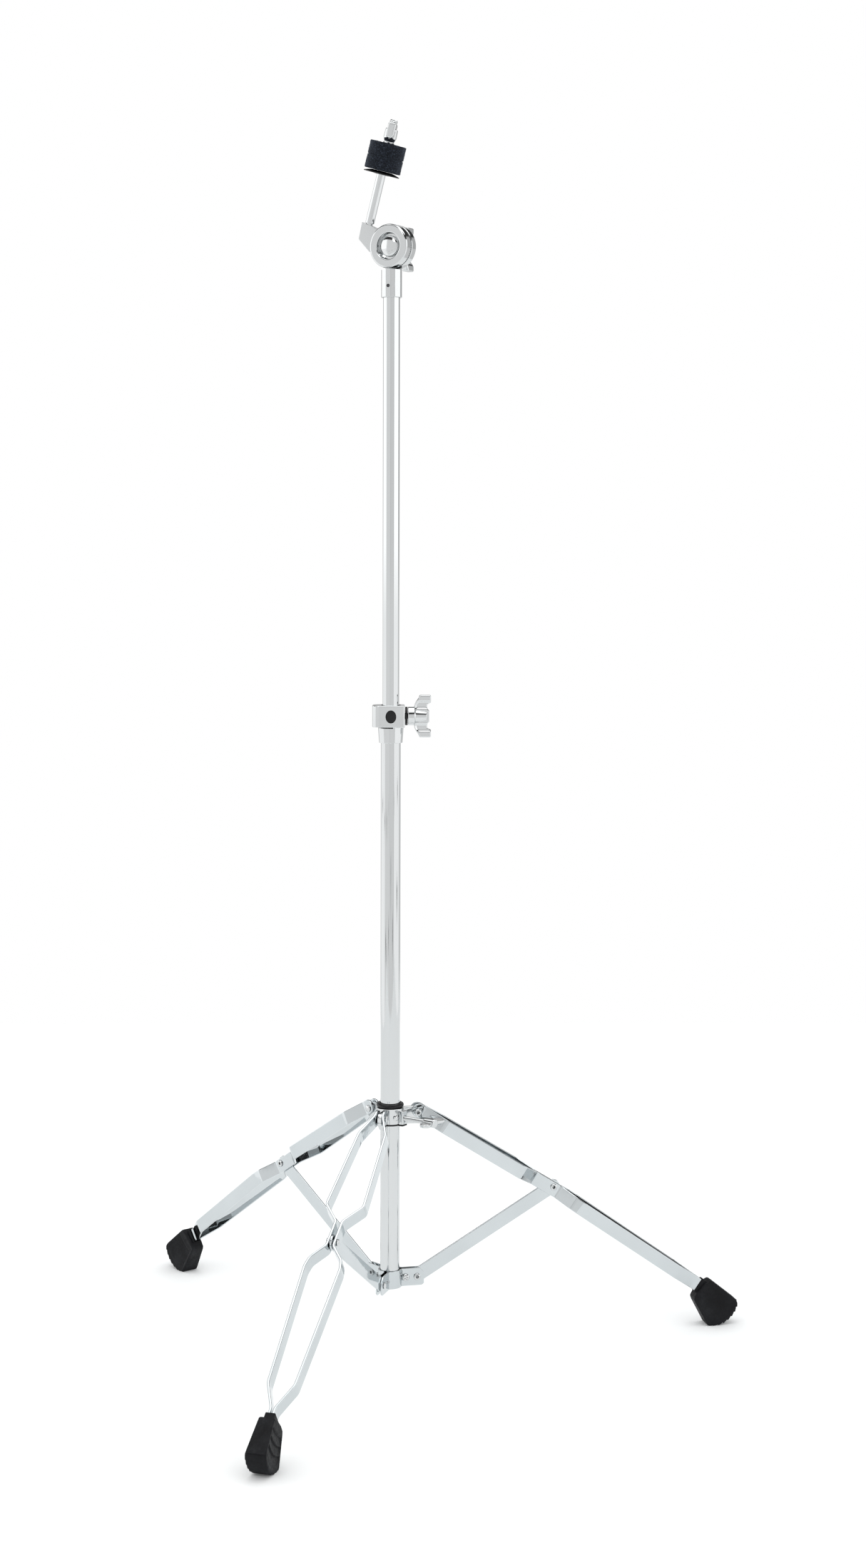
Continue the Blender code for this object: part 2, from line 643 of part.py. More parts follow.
def make_hub():
    for number in range(1, LEG_COUNT + 1):
        hub_plate(number)
        hub_screw(number)
        grip = HUB_FLANGE_OFFSET + PLATE_THICKNESS / 2
        frame = leg_frame(number, PIVOT_RADIUS, HUB_PIVOT_Z)
        part(f"hub_rivet_{number}", rivet(grip), "chrome", "stand", frame @ ALONG_Y)


# ---------------------------------------------------------------- sliding collar

def make_collar():
    top = COLLAR_BOTTOM_Z + PLATE_HEIGHT
    body = cylinder(COLLAR_BODY_RADIUS, COLLAR_BOTTOM_Z, top, 36)
    joins = []
    cuts = [cylinder(COLLAR_BORE_RADIUS, COLLAR_BOTTOM_Z - 5, top + 5, 36)]
    reach = FLANGE_END_RADIUS - 0.4
    for number in range(1, LEG_COUNT + 1):
        frame = spin_z(leg_azimuth(number))
        lug_outline = [(COLLAR_BORE_RADIUS + 1, COLLAR_BOTTOM_Z + 0.2)]
        lug_outline += [(PIVOT_RADIUS, COLLAR_BOTTOM_Z + 0.2), (reach, COLLAR_PIVOT_Z - 4)]
        lug_outline += [(reach, COLLAR_PIVOT_Z + 2.5), (reach - 3, top - 0.2)]
        lug_outline += [(COLLAR_BORE_RADIUS + 1, top - 0.2)]
        lug = prism(lug_outline, -COLLAR_LUG_HALF, COLLAR_LUG_HALF)
        joins.append(moved(lug, frame @ TOWARDS_ARM))
        hole = cylinder(RIVET_HOLE_RADIUS, -9, 9, 16)
        cuts.append(moved(hole, leg_frame(number, PIVOT_RADIUS, COLLAR_PIVOT_Z) @ ALONG_Y))
    stud_frame = spin_z(COLLAR_STUD_AZIMUTH) @ at(0, 0, COLLAR_SCREW_Z + 1) @ ALONG_X
    cuts.append(moved(cylinder(1.6, 8, 20, 12), stud_frame))
    screw = spin_z(COLLAR_SCREW_AZIMUTH)
    boss = [(COLLAR_BORE_RADIUS + 1, -4.4), (COLLAR_BOSS_RADIUS, -4.0), (COLLAR_BOSS_RADIUS, 4.0),
            (COLLAR_BORE_RADIUS + 1, 4.4)]
    joins.append(moved(prism(boss, COLLAR_SCREW_Z - 7.5, COLLAR_SCREW_Z + 7.5), screw))
    cuts.append(moved(cylinder(2.9, 8, 30, 16), screw @ at(0, 0, COLLAR_SCREW_Z) @ ALONG_X))
    part("collar_body", body, "chrome", "collar_pivot", joins=joins, cuts=cuts)

    liner_radius = COLLAR_BORE_RADIUS - GAP
    tube_clearance = LOWER_TUBE_RADIUS + 0.3
    rim = COLLAR_RIM_RADIUS
    rim_bottom = top + GAP
    rim_top = rim_bottom + COLLAR_RIM_HEIGHT
    bushing = turned([
        (tube_clearance, COLLAR_BOTTOM_Z + 1), (liner_radius, COLLAR_BOTTOM_Z + 1),
        (liner_radius, rim_bottom), (rim - 0.8, rim_bottom), (rim, rim_bottom + 1.2),
        (rim, rim_top - 1.1), (rim - 1.0, rim_top), (tube_clearance, rim_top),
    ], 28)
    part("collar_bushing", bushing, "black_plastic", "collar_pivot")

    for number in range(1, LEG_COUNT + 1):
        frame = leg_frame(number, PIVOT_RADIUS, COLLAR_PIVOT_Z)
        grip = TOP_HALF_GAP + STRIP_THICKNESS / 2
        part(f"leg_rivet_{number}", rivet(grip), "chrome", "collar_pivot", frame @ ALONG_Y)

    head = COLLAR_BODY_RADIUS + 0.25
    stud = turned([(0, liner_radius + GAP), (1.3, liner_radius + GAP), (1.3, head), (2.7, head),
                   (2.7, head + 0.5), (1.6, head + 1.1), (0, head + 1.2)], 14)
    part("collar_stud", stud, "chrome", "collar_pivot", stud_frame)

    shank_start = liner_radius + GAP - COLLAR_BOSS_RADIUS
    wing_start = COLLAR_WING_START_RADIUS - COLLAR_BOSS_RADIUS
    shank = turned([
        (0, shank_start), (COLLAR_SCREW_RADIUS, shank_start), (COLLAR_SCREW_RADIUS, wing_start),
        (4.4, wing_start + 0.6), (4.4, wing_start + 11.5), (0, wing_start + 12.0),
    ], 20)
    wings = [(x, z + wing_start) for x, z in COLLAR_WING_HALF]
    part("collar_wing_screw", shank, "chrome", "collar_screw_axis", FRAMES["collar_screw_axis"]
         @ Matrix.Rotation(math.pi / 2, 4, "Z"), joins=[wing_plate(wings, COLLAR_WING_THICKNESS)])


# ---------------------------------------------------------------- tilter

def pin_direction():
    """The socket's pin points forwards, a little to the left."""
    return spin_z(SOCKET_PIN_AZIMUTH) @ TOWARDS_ARM


def toothed(radius, height, tooth):
    """A profile point whose height alternates from step to step, like a face of teeth."""
    return lambda step: (radius, height + (tooth if step % 2 else 0.0))


def make_tilter():
    axis = FRAMES["tilt_axis"]
    facing = axis @ TOWARDS_ARM
    steps = 2 * TOOTH_COUNT

    back = turned([
        (BOLT_RADIUS + 0.5, BASE_BACK), (DISC_RADIUS - 0.8, BASE_BACK), (DISC_RADIUS, BASE_BACK + 0.8),
        (DISC_RADIUS, BASE_FRONT - 0.4), (TOOTH_OUTER_RADIUS, BASE_FRONT),
        toothed(TOOTH_OUTER_RADIUS - 0.1, BASE_FRONT, TOOTH_HEIGHT),
        toothed(TOOTH_INNER_RADIUS + 0.1, BASE_FRONT, TOOTH_HEIGHT),
        (TOOTH_INNER_RADIUS, BASE_FRONT), (7.6, BASE_FRONT), (7.6, BASE_FRONT - 4.5),
        (BOLT_RADIUS + 0.5, BASE_FRONT - 4.5),
    ], steps)
    moved(back, facing)
    socket = cylinder(SOCKET_RADIUS, SOCKET_BOTTOM, TILTER_HEIGHT - 12, 36)
    cuts = [
        moved(prism([(-40, -40), (40, -40), (40, -BASE_FRONT), (-40, -BASE_FRONT)],
                    SOCKET_TOP - TILTER_HEIGHT, 0), axis),
        cylinder(UPPER_TUBE_RADIUS + 0.3, SOCKET_BOTTOM - 5, UPPER_TUBE_TOP + GAP, 36),
        moved(cylinder(SOCKET_PIN_HOLE_RADIUS, -12, 12, 12), at(0, 0, SOCKET_PIN_Z) @ pin_direction()),
    ]
    holder = as_object("socket", socket)
    for cutter in cuts:
        combine(holder, cutter, "DIFFERENCE")
    shaped = bmesh.new()
    shaped.from_mesh(holder.data)
    bpy.data.objects.remove(holder, do_unlink=True)
    part("tilter_base", back, "chrome", "mast_turn_axis", joins=[shaped])

    pin = moved(cylinder(1.3, -9.3, 9.3, 12), at(0, 0, SOCKET_PIN_Z) @ pin_direction())
    part("socket_pin", pin, "dark_steel", "mast_turn_axis")

    front = turned([
        (BOLT_RADIUS + 0.5, ARM_BACK), (TOOTH_INNER_RADIUS, ARM_BACK),
        toothed(TOOTH_INNER_RADIUS + 0.1, ARM_BACK, -TOOTH_HEIGHT),
        toothed(TOOTH_OUTER_RADIUS - 0.1, ARM_BACK, -TOOTH_HEIGHT),
        (TOOTH_OUTER_RADIUS, ARM_BACK), (DISC_RADIUS, ARM_BACK + 0.4), (DISC_RADIUS, ARM_FACE - 1.4),
        (DISC_RADIUS - 1.4, ARM_FACE), (RECESS_RADIUS, ARM_FACE), (RECESS_RADIUS, RECESS_FLOOR),
        (BOLT_RADIUS + 0.5, RECESS_FLOOR),
    ], steps)
    moved(front, TOWARDS_ARM)
    block = moved(prism(ARM_BLOCK_OUTLINE, ARM_BACK - 0.6, ARM_FACE - 0.5), TOWARDS_ARM)
    rod = axis.inverted() @ FRAMES["rod_axis"]
    rod_hole = moved(cylinder(ROD_FOOT_RADIUS + 0.3, ROD_FOOT_START - 0.5, 30, 20), rod)
    part("tilter_arm", front, "chrome", "tilt_axis", axis, joins=[block], cuts=[rod_hole])

    bolt = turned([
        (0, BOLT_END), (BOLT_RADIUS - 0.6, BOLT_END), (BOLT_RADIUS, BOLT_END + 0.6),
        (BOLT_RADIUS, RECESS_FLOOR + GAP), (9.7, RECESS_FLOOR + GAP), (9.7, 4.4), (8.4, 5.6),
        (5.0, 6.5), (0, 6.8),
    ], 32)
    part("tilter_bolt", bolt, "chrome", "mast_turn_axis", facing)

    part("tilter_spring", spring(), "dark_steel", "mast_turn_axis", facing)
    washer = ring(BOLT_RADIUS + 0.4, 8.0, BASE_BACK - GAP - 1.2, BASE_BACK - GAP)
    part("tilter_washer", washer, "chrome", "mast_turn_axis", facing)
    nut_start = BASE_BACK - 2 * GAP - 1.2
    backwards = axis @ at(0, -nut_start, 0) @ ALONG_Y @ spin_z(math.pi / 2)
    mast_wing_nut("tilter_wing_nut", "tilter_nut_axis", backwards, None, None, BOLT_RADIUS + 0.4)


def spring():
    """The coil that pushes the toothed faces apart, wound around the bolt."""
    radius, wire, turns, per_turn, around = 6.0, 0.55, 2.5, 14, 5
    low = BASE_FRONT - 4.5 + wire + GAP
    high = ARM_BACK - wire - GAP
    count = int(turns * per_turn)
    points = []
    for step in range(count + 1):
        angle = 2 * math.pi * step / per_turn
        height = low + (high - low) * step / count
        for corner in range(around):
            tilt = 2 * math.pi * corner / around
            reach = radius + wire * math.cos(tilt)
            points.append((reach * math.cos(angle), reach * math.sin(angle),
                           height + wire * math.sin(tilt)))
    faces = [list(range(around)), [count * around + corner for corner in range(around)]]
    for step in range(count):
        for corner in range(around):
            beside = (corner + 1) % around
            base = step * around
            faces.append([base + corner, base + beside, base + around + beside,
                          base + around + corner])
    return solid(points, faces)


# ---------------------------------------------------------------- cymbal rod

def make_cymbal_rod():
    frame = FRAMES["rod_axis"]
    rod = turned([
        (0, ROD_FOOT_START), (ROD_FOOT_RADIUS, ROD_FOOT_START), (ROD_FOOT_RADIUS, ROD_SHOULDER),
        (ROD_RADIUS, ROD_SHOULDER), (ROD_RADIUS, ROD_THREAD_START - 0.5),
        (ROD_THREAD_RADIUS, ROD_THREAD_START), (ROD_THREAD_RADIUS, ROD_TIP - 0.8),
        (ROD_THREAD_RADIUS - 0.8, ROD_TIP), (0, ROD_TIP),
    ], 24)
    part("cymbal_rod", rod, "chrome", "rod_axis", frame)

    clear = ROD_RADIUS + 0.3
    seat = turned([
        (clear, SEAT_TOP - 5.5), (6.2, SEAT_TOP - 5.5), (7.4, SEAT_TOP - 2.6),
        (SEAT_RADIUS - 0.6, SEAT_TOP - 1.8), (SEAT_RADIUS, SEAT_TOP - 0.9),
        (SEAT_RADIUS - 0.3, SEAT_TOP), (clear, SEAT_TOP),
    ], 32)
    part("cymbal_seat", seat, "black_plastic", "rod_axis", frame)

    sleeve = ring(clear, FELT_BORE_RADIUS - 0.35, SEAT_TOP + GAP, ROD_THREAD_START - 0.6, 24)
    part("cymbal_sleeve", sleeve, "black_plastic", "rod_axis", frame)

    lower = felt_ring(LOWER_FELT_START)
    part("lower_felt", lower, "felt", "rod_axis", frame)
    upper = felt_ring(UPPER_FELT_START)
    part("upper_felt", upper, "felt", "upper_felt_axis", frame)

    hub = turned([
        (0, 0), (6.4, 0), (6.4, 1.6), (CYMBAL_NUT_RADIUS, 2.4), (CYMBAL_NUT_RADIUS, CYMBAL_NUT_HEIGHT - 0.6),
        (CYMBAL_NUT_RADIUS - 0.6, CYMBAL_NUT_HEIGHT), (0, CYMBAL_NUT_HEIGHT),
    ], 24)
    part("cymbal_wing_nut", hub, "chrome", "cymbal_nut_axis",
         FRAMES["cymbal_nut_axis"] @ Matrix.Rotation(CYMBAL_NUT_TURN, 4, "Z"),
         joins=[wing_plate(CYMBAL_WING_HALF, CYMBAL_WING_THICKNESS)],
         cuts=[cylinder(ROD_THREAD_RADIUS + 0.3, -1, 25, 20)])


def felt_ring(start):
    edge = 1.0
    end = start + FELT_THICKNESS
    return turned([
        (FELT_BORE_RADIUS, start), (FELT_RADIUS - edge, start), (FELT_RADIUS, start + edge),
        (FELT_RADIUS, end - edge), (FELT_RADIUS - edge, end), (FELT_BORE_RADIUS, end),
    ], 28)


# ---------------------------------------------------------------- whole stand

def centre_on_floor():
    """Move the stand so that its bounding box stands centred on the origin."""
    bpy.context.view_layer.update()
    corners = [item.matrix_world @ vertex.co for item in bpy.data.objects if item.type == "MESH"
               for vertex in item.data.vertices]
    middle = [(min(c[axis] for c in corners) + max(c[axis] for c in corners)) / 2 for axis in (0, 1)]
    stand = bpy.data.objects["stand"]
    stand.location = (-middle[0], -middle[1], -min(c[2] for c in corners))
    bpy.context.view_layer.update()


def main():
    clear_scene()
    material("chrome", (0.80, 0.81, 0.82), 0.12, 1.0)
    material("dark_steel", (0.10, 0.10, 0.11), 0.35, 1.0)
    material("black_plastic", (0.02, 0.02, 0.022), 0.4, 0.0)
    material("rubber", (0.025, 0.026, 0.028), 0.65, 0.0)
    material("felt", (0.03, 0.032, 0.04), 0.95, 0.0)
    make_pivots()
    make_mast()
    make_clamp()
    make_legs()
    make_hub()
    make_collar()
    make_tilter()
    make_cymbal_rod()
    centre_on_floor()


main()
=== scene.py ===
"""Looks for the folding cymbal stand: chrome, black plastic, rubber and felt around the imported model.

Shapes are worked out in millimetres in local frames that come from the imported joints, and become
metres where the meshes are made. Each piece stands for one CAD node and rides on that node's body.
"""
import json
import math
import random

import bmesh
import bpy
from mathutils import Matrix, Vector, noise


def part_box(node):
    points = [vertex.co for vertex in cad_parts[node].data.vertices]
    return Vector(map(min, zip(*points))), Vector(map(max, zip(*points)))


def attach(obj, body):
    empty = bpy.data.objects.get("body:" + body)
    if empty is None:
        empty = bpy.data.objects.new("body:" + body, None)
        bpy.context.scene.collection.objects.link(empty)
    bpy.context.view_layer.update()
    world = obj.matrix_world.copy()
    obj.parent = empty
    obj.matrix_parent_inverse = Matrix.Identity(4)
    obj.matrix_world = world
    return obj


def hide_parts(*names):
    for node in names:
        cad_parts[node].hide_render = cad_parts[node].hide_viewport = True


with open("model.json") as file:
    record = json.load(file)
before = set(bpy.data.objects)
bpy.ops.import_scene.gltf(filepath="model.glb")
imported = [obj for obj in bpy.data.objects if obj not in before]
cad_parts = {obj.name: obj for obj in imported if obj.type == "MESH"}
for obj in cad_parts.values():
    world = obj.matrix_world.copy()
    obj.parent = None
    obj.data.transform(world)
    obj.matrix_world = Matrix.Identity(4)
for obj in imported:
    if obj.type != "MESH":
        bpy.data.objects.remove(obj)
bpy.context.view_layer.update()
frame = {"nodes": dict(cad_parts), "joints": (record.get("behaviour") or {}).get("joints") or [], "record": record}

RECORD = frame["record"]
JOINTS = {joint["name"]: joint for joint in frame["joints"]}
BODY_OF = {node: body for body, nodes in RECORD["behaviour"]["bodies"].items() for node in nodes}

MM = 0.001
GAP = 0.3
ALONG_X = Matrix.Rotation(math.pi / 2, 4, "Y")
ALONG_Y = Matrix.Rotation(-math.pi / 2, 4, "X")
TOWARDS_ARM = Matrix.Rotation(math.pi / 2, 4, "X")
TURN = 2 * math.pi

# Mast
LOWER_TUBE_RADIUS = 9.525
UPPER_TUBE_RADIUS = 7.9375
TUBE_WALL = 1.2

# Legs, braces and plates
STRIP_WIDTH = 13.5
STRIP_THICKNESS = 2.4
STRIP_ROUNDING = 0.75
STRIP_OFFSET = 2.0
STRIP_BEND_AFTER_PIVOT = 6.0
STRIP_INSIDE_FOOT = 16.0
FOOT_ENTRY = (315.0, 42.0)
TOP_HALF_GAP = 3.8
MID_HALF_GAP = 3.2
FOOT_HALF_GAP = 1.9
BRACE_WIDTH = 14.0
PLATE_THICKNESS = 1.6
PLATE_HEIGHT = 17.4
FLANGE_END_RADIUS = 33.4
HUB_WRAP_RADIUS = 10.7
HUB_FLANGE_OFFSET = 2.4
HUB_SCREW_RADIUS = 15.0
RIVET_HOLE_RADIUS = 2.6
RIVET_HEAD_RADIUS = 3.4
RIVET_HEAD_HEIGHT = 1.5

# Collar
COLLAR_BORE_RADIUS = 11.2
COLLAR_BODY_RADIUS = 13.2
COLLAR_LUG_HALF = 2.2
COLLAR_BOSS_RADIUS = 17.7
COLLAR_STUD_AZIMUTH = math.radians(-66.0)

# Foot
FOOT_AXIS_TILT = math.radians(44.4)
FOOT_ARC_RADIUS = 27.0
FOOT_ARC_CENTRE = (15.6, 26.1)
FOOT_ARC_START = -55.0
FOOT_ARC_SWEEP = 94.5
FOOT_NECK_HALF = 12.6
FOOT_MOUTH = 4.5
FOOT_THICK_TOP = 7.4
FOOT_THICK_BOTTOM = 9.8
FOOT_TEETH = 8

# Clamp
CLAMP_LEFT = -17.7
CLAMP_RIGHT = 13.3
CLAMP_FRONT = 12.4
CLAMP_BORE_RADIUS = 9.85
CLAMP_BLOCK_HEIGHT = 20.5
CLAMP_WASHER_THICKNESS = 2.4

# Tilter and cymbal rod
DISC_RADIUS = 20.35
ARM_FACE = 7.2
ARM_BACK = -1.2
BASE_FRONT = -3.2
BASE_BACK = -11.3
TOOTH_HEIGHT = 0.8
TOOTH_COUNT = 60
RECESS_RADIUS = 12.4
RECESS_FLOOR = 2.2
BOLT_RADIUS = 4.0
BOLT_END = -31.0
SOCKET_RADIUS = 9.7
SOCKET_PIN_HEIGHT = 10.4
ROD_RADIUS = 4.2
ROD_THREAD_RADIUS = 3.8
FELT_THICKNESS = 12.5
FELT_RADIUS = 17.5
FELT_BORE_RADIUS = 5.7
FELT_FIBRES = 900
SEAT_TOP = 64.0
SEAT_RADIUS = 17.0

# Studio: brightness of the flats by direction in degrees from the viewer's, and the far floor
WORLD_STRENGTH = 1.6
MATT_WHITE = 0.73
DARK_GAP = 0.03
FAR_FLOOR = 0.62
FLOOR_HALF_SIZE = 1600.0
FLATS = (
    (-180, -140, 0.30), (-140, -70, 1.0), (-70, -13, 0.60), (-13, -8, 0.46), (-8, 32, 0.55),
    (32, 38, 0.40), (38, 112, 1.0), (112, 180, 0.36),
)
# Dark things on the far floor: direction, half width in degrees, top and bottom rise
FAR_SHAPES = (
    (-104, 7, -0.105, -0.115), (-72, 6, -0.112, -0.122), (-47, 4, -0.112, -0.126), (-24, 4, -0.108, -0.115),
    (40, 4, -0.104, -0.115), (84, 6, -0.098, -0.112), (-60, 6, -0.162, -0.178), (-46, 4, -0.166, -0.190),
    (-22, 5, -0.158, -0.176), (3, 3, -0.130, -0.168), (24, 5, -0.156, -0.178), (80, 7, -0.140, -0.162),
)


# ---------------------------------------------------------------- frames, in millimetres

def at(x, y, z):
    return Matrix.Translation((x, y, z))


def spin_z(angle):
    return Matrix.Rotation(angle, 4, "Z")


def in_millimetres(point):
    return Vector(point) / MM


def low_and_high(node):
    """A CAD node's lowest and highest corner in millimetres."""
    low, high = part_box(node)
    return in_millimetres(low), in_millimetres(high)


def bottom_and_top(node):
    low, high = low_and_high(node)
    return low.z, high.z


def axes_at(origin, x_axis, z_axis):
    x_axis, z_axis = Vector(x_axis).normalized(), Vector(z_axis).normalized()
    y_axis = z_axis.cross(x_axis)
    turned_axes = Matrix((x_axis, y_axis, z_axis)).transposed().to_4x4()
    return Matrix.Translation(origin) @ turned_axes


tube_low, tube_high = low_and_high("lower_tube")
STAND = at((tube_low.x + tube_high.x) / 2, (tube_low.y + tube_high.y) / 2, 0)
LOWER_TUBE_BOTTOM, LOWER_TUBE_TOP = tube_low.z, tube_high.z
UPPER_TUBE_BOTTOM, UPPER_TUBE_TOP = bottom_and_top("upper_tube")


def joint_place(name):
    return in_millimetres(JOINTS[name]["pos_m"])


def from_tube(point):
    """(distance from the tube's axis, height) of a point."""
    offset = point - STAND.translation
    return math.hypot(offset.x, offset.y), point.z


PIVOT_RADIUS, HUB_PIVOT_Z = from_tube(joint_place("leg_fold"))
MID_PIVOT_RADIUS, MID_PIVOT_Z = from_tube(joint_place("leg_1_knee"))
COLLAR_PIVOT_Z = joint_place("collar_pivot").z
COLLAR_LOW, COLLAR_HIGH = bottom_and_top("collar_body")
LEG_JOINTS = ("leg_fold", "brace_2_fold", "brace_3_fold")
LEG_AZIMUTHS = [math.atan2(JOINTS[name]["axis"][0], -JOINTS[name]["axis"][1]) for name in LEG_JOINTS]
ARM_LENGTH = math.hypot(MID_PIVOT_RADIUS - PIVOT_RADIUS, COLLAR_PIVOT_Z - MID_PIVOT_Z)
ARM_TILT = math.atan2(MID_PIVOT_RADIUS - PIVOT_RADIUS, COLLAR_PIVOT_Z - MID_PIVOT_Z)

TILTER_Y = -Vector(JOINTS["tilt"]["axis"])
TILTER = axes_at(joint_place("tilt"), TILTER_Y.cross(Vector((0, 0, 1))), (0, 0, 1))
ROD_AXIS = Vector(JOINTS["top_felt_lift"]["axis"]).normalized()
CYMBAL_NUT_START = SEAT_TOP + 2 * FELT_THICKNESS + 3 * GAP
ROD_ORIGIN = joint_place("cymbal_nut_turn") - ROD_AXIS * CYMBAL_NUT_START
ROD = axes_at(ROD_ORIGIN, TILTER_Y.cross(ROD_AXIS), ROD_AXIS)
CLAMP_SCREW = at(*joint_place("clamp_screw_turn")) @ ALONG_X
CLAMP_SCREW_Z = CLAMP_SCREW.translation.z
CLAMP_LOW, CLAMP_HIGH = bottom_and_top("clamp_body")
CLAMP_BLOCK_BOTTOM = CLAMP_HIGH - CLAMP_BLOCK_HEIGHT
SCREW_AXIS = Vector(JOINTS["collar_screw_turn"]["axis"])
COLLAR_SCREW_AZIMUTH = math.atan2(SCREW_AXIS.y, SCREW_AXIS.x)
COLLAR_SCREW_Z = joint_place("collar_screw_turn").z
SOCKET_BOTTOM = bottom_and_top("tilter_base")[0]
SOCKET_PIN_Z = SOCKET_BOTTOM + SOCKET_PIN_HEIGHT
PIN_DIRECTION = spin_z(math.radians(-20)) @ TOWARDS_ARM


def leg_frame(number, radius, height):
    """A frame at a pivot of a leg: X runs outwards, Y along the pivot's pin."""
    return STAND @ spin_z(LEG_AZIMUTHS[number - 1]) @ at(radius, 0, height)


# ---------------------------------------------------------------- mesh tools

def solid(points, faces):
    """Make a closed mesh in a bmesh from points in millimetres."""
    made = bmesh.new()
    vertices = [made.verts.new(Vector(point) * MM) for point in points]
    for face in faces:
        made.faces.new([vertices[index] for index in face])
    bmesh.ops.recalc_face_normals(made, faces=made.faces)
    return made


def tube_of_rings(rings, closed=False, caps=True):
    """Skin a list of rings that have the same number of points."""
    count = len(rings[0])
    points = [point for row in rings for point in row]
    faces = []
    for number in range(len(rings) - (0 if closed else 1)):
        here, there = number * count, (number + 1) % len(rings) * count
        for step in range(count):
            beside = (step + 1) % count
            faces.append([here + step, here + beside, there + beside, there + step])
    if caps and not closed:
        faces.append(list(range(count))[::-1])
        faces.append([(len(rings) - 1) * count + step for step in range(count)])
    return solid(points, faces)


def turned(profile, steps=96, phase=0.5):
    """Turn a closed (radius, height) outline about Z. An entry may be a function of the angle."""
    points = []
    rows = []
    for station in profile:
        row = []
        for step in range(steps):
            angle = TURN * (step + phase) / steps
            radius, height = station(angle) if callable(station) else station
            if radius == 0 and row:
                row.append(row[0])
                continue
            row.append(len(points))
            points.append((radius * math.cos(angle), radius * math.sin(angle), height))
        rows.append(row)
    faces = []
    for number, row in enumerate(rows):
        following = rows[(number + 1) % len(rows)]
        if row[0] == row[1] and following[0] == following[1]:
            continue
        for step in range(steps):
            beside = (step + 1) % steps
            corners = [row[step], row[beside], following[beside], following[step]]
            faces.append(list(dict.fromkeys(corners)))
    return solid(points, faces)


def arc(centre, radius, start, end, steps):
    """Points along a circular arc, both ends included; the angles are in degrees."""
    angles = [math.radians(start + (end - start) * step / steps) for step in range(steps + 1)]
    return [(centre[0] + radius * math.cos(angle), centre[1] + radius * math.sin(angle)) for angle in angles]


def soft_corner(start, corner, end, steps):
    """Points of a smooth curve that leaves the start and meets the end in the corner's directions."""
    shares = [step / steps for step in range(steps + 1)]
    return [(1 - share) ** 2 * start + 2 * share * (1 - share) * corner + share ** 2 * end
            for share in shares]


def mitre_at(path, index):
    """Across an open flat path at one of its points, longer where the path bends."""
    here = path[index]
    runs = []
    if index:
        runs.append((here - path[index - 1]).normalized())
    if index + 1 < len(path):
        runs.append((path[index + 1] - here).normalized())
    normals = [Vector((-run.y, run.x)) for run in runs]
    mitre = sum(normals, Vector((0, 0))).normalized()
    return mitre / mitre.dot(normals[0])


def soft_outline(outline, radius, steps=3):
    """Round each corner of a flat outline; points on its axis of rotation stay as they are."""
    rounded = []
    count = len(outline)
    for index, corner in enumerate(outline):
        here = Vector(corner)
        before, after = Vector(outline[index - 1]), Vector(outline[(index + 1) % count])
        if abs(here.x) < 1e-6:
            rounded.append(tuple(here))
            continue
        reach = min(radius, (before - here).length * 0.45, (after - here).length * 0.45)
        start = here + (before - here).normalized() * reach
        end = here + (after - here).normalized() * reach
        rounded += [tuple(point) for point in soft_corner(start, here, end, steps)]
    return rounded


def offset_outline(outline, inset):
    """Move a flat anticlockwise outline inwards, with mitred corners."""
    moved_points = []
    count = len(outline)
    for index, corner in enumerate(outline):
        here = Vector(corner)
        before, after = Vector(outline[index - 1]), Vector(outline[(index + 1) % count])
        first, second = (here - before).normalized(), (after - here).normalized()
        normals = Vector((-first.y, first.x)), Vector((-second.y, second.x))
        mitre = (normals[0] + normals[1]).normalized()
        moved_points.append(here + mitre * inset / max(0.3, mitre.dot(normals[0])))
    return moved_points


def anticlockwise(outline):
    area = sum(a[0] * b[1] - b[0] * a[1] for a, b in zip(outline, outline[1:] + outline[:1]))
    return outline if area > 0 else outline[::-1]


def slab(outline, low, high, edge=0.5, steps=3):
    """Extrude a flat outline along Z, with rounded edges."""
    outline = anticlockwise([tuple(point) for point in outline])
    rings = []
    for side, start in ((0, low), (1, high)):
        order = range(steps + 1) if side == 0 else range(steps, -1, -1)
        for step in order:
            angle = math.pi / 2 * step / steps
            inset = edge * (1 - math.sin(angle))
            rise = edge * (1 - math.cos(angle))
            height = start + rise if side == 0 else start - rise
            rings.append([(p.x, p.y, height) for p in offset_outline(outline, inset)])
    return tube_of_rings(rings)


def block(counts, place):
    """Skin a block of cells: place maps fractions (0..1) along its three sides to a point."""
    index = {}
    points = []

    def number_of(node):
        if node not in index:
            index[node] = len(points)
            points.append(place(*(n / count for n, count in zip(node, counts))))
        return index[node]

    faces = []
    for axis in range(3):
        first, second = [other for other in range(3) if other != axis]
        for level in (0, counts[axis]):
            for a in range(counts[first]):
                for b in range(counts[second]):
                    corners = []
                    for step_a, step_b in ((0, 0), (1, 0), (1, 1), (0, 1)):
                        node = [0, 0, 0]
                        node[axis] = level
                        node[first] = a + step_a
                        node[second] = b + step_b
                        corners.append(number_of(tuple(node)))
                    faces.append(corners)
    return solid(points, faces)


def rounded_in_box(fractions, sizes, radius):
    """Pull a point on a box's skin onto the same box with rounded edges; in and out in 0..1."""
    place = Vector([fraction * size for fraction, size in zip(fractions, sizes)])
    inner = Vector([min(max(value, radius), size - radius) for value, size in zip(place, sizes)])
    away = place - inner
    if away.length > 0:
        place = inner + away.normalized() * radius
    return [value / size for value, size in zip(place, sizes)]


def moved(shape, matrix):
    scaled = matrix.copy()
    scaled.translation = matrix.translation * MM
    bmesh.ops.transform(shape, matrix=scaled, verts=shape.verts)
    return shape


def joined(*shapes):
    """Put separate closed shells into one mesh."""
    result = shapes[0]
    for shape in shapes[1:]:
        spare = bpy.data.meshes.new("spare")
        shape.to_mesh(spare)
        shape.free()
        result.from_mesh(spare)
        bpy.data.meshes.remove(spare)
    return result


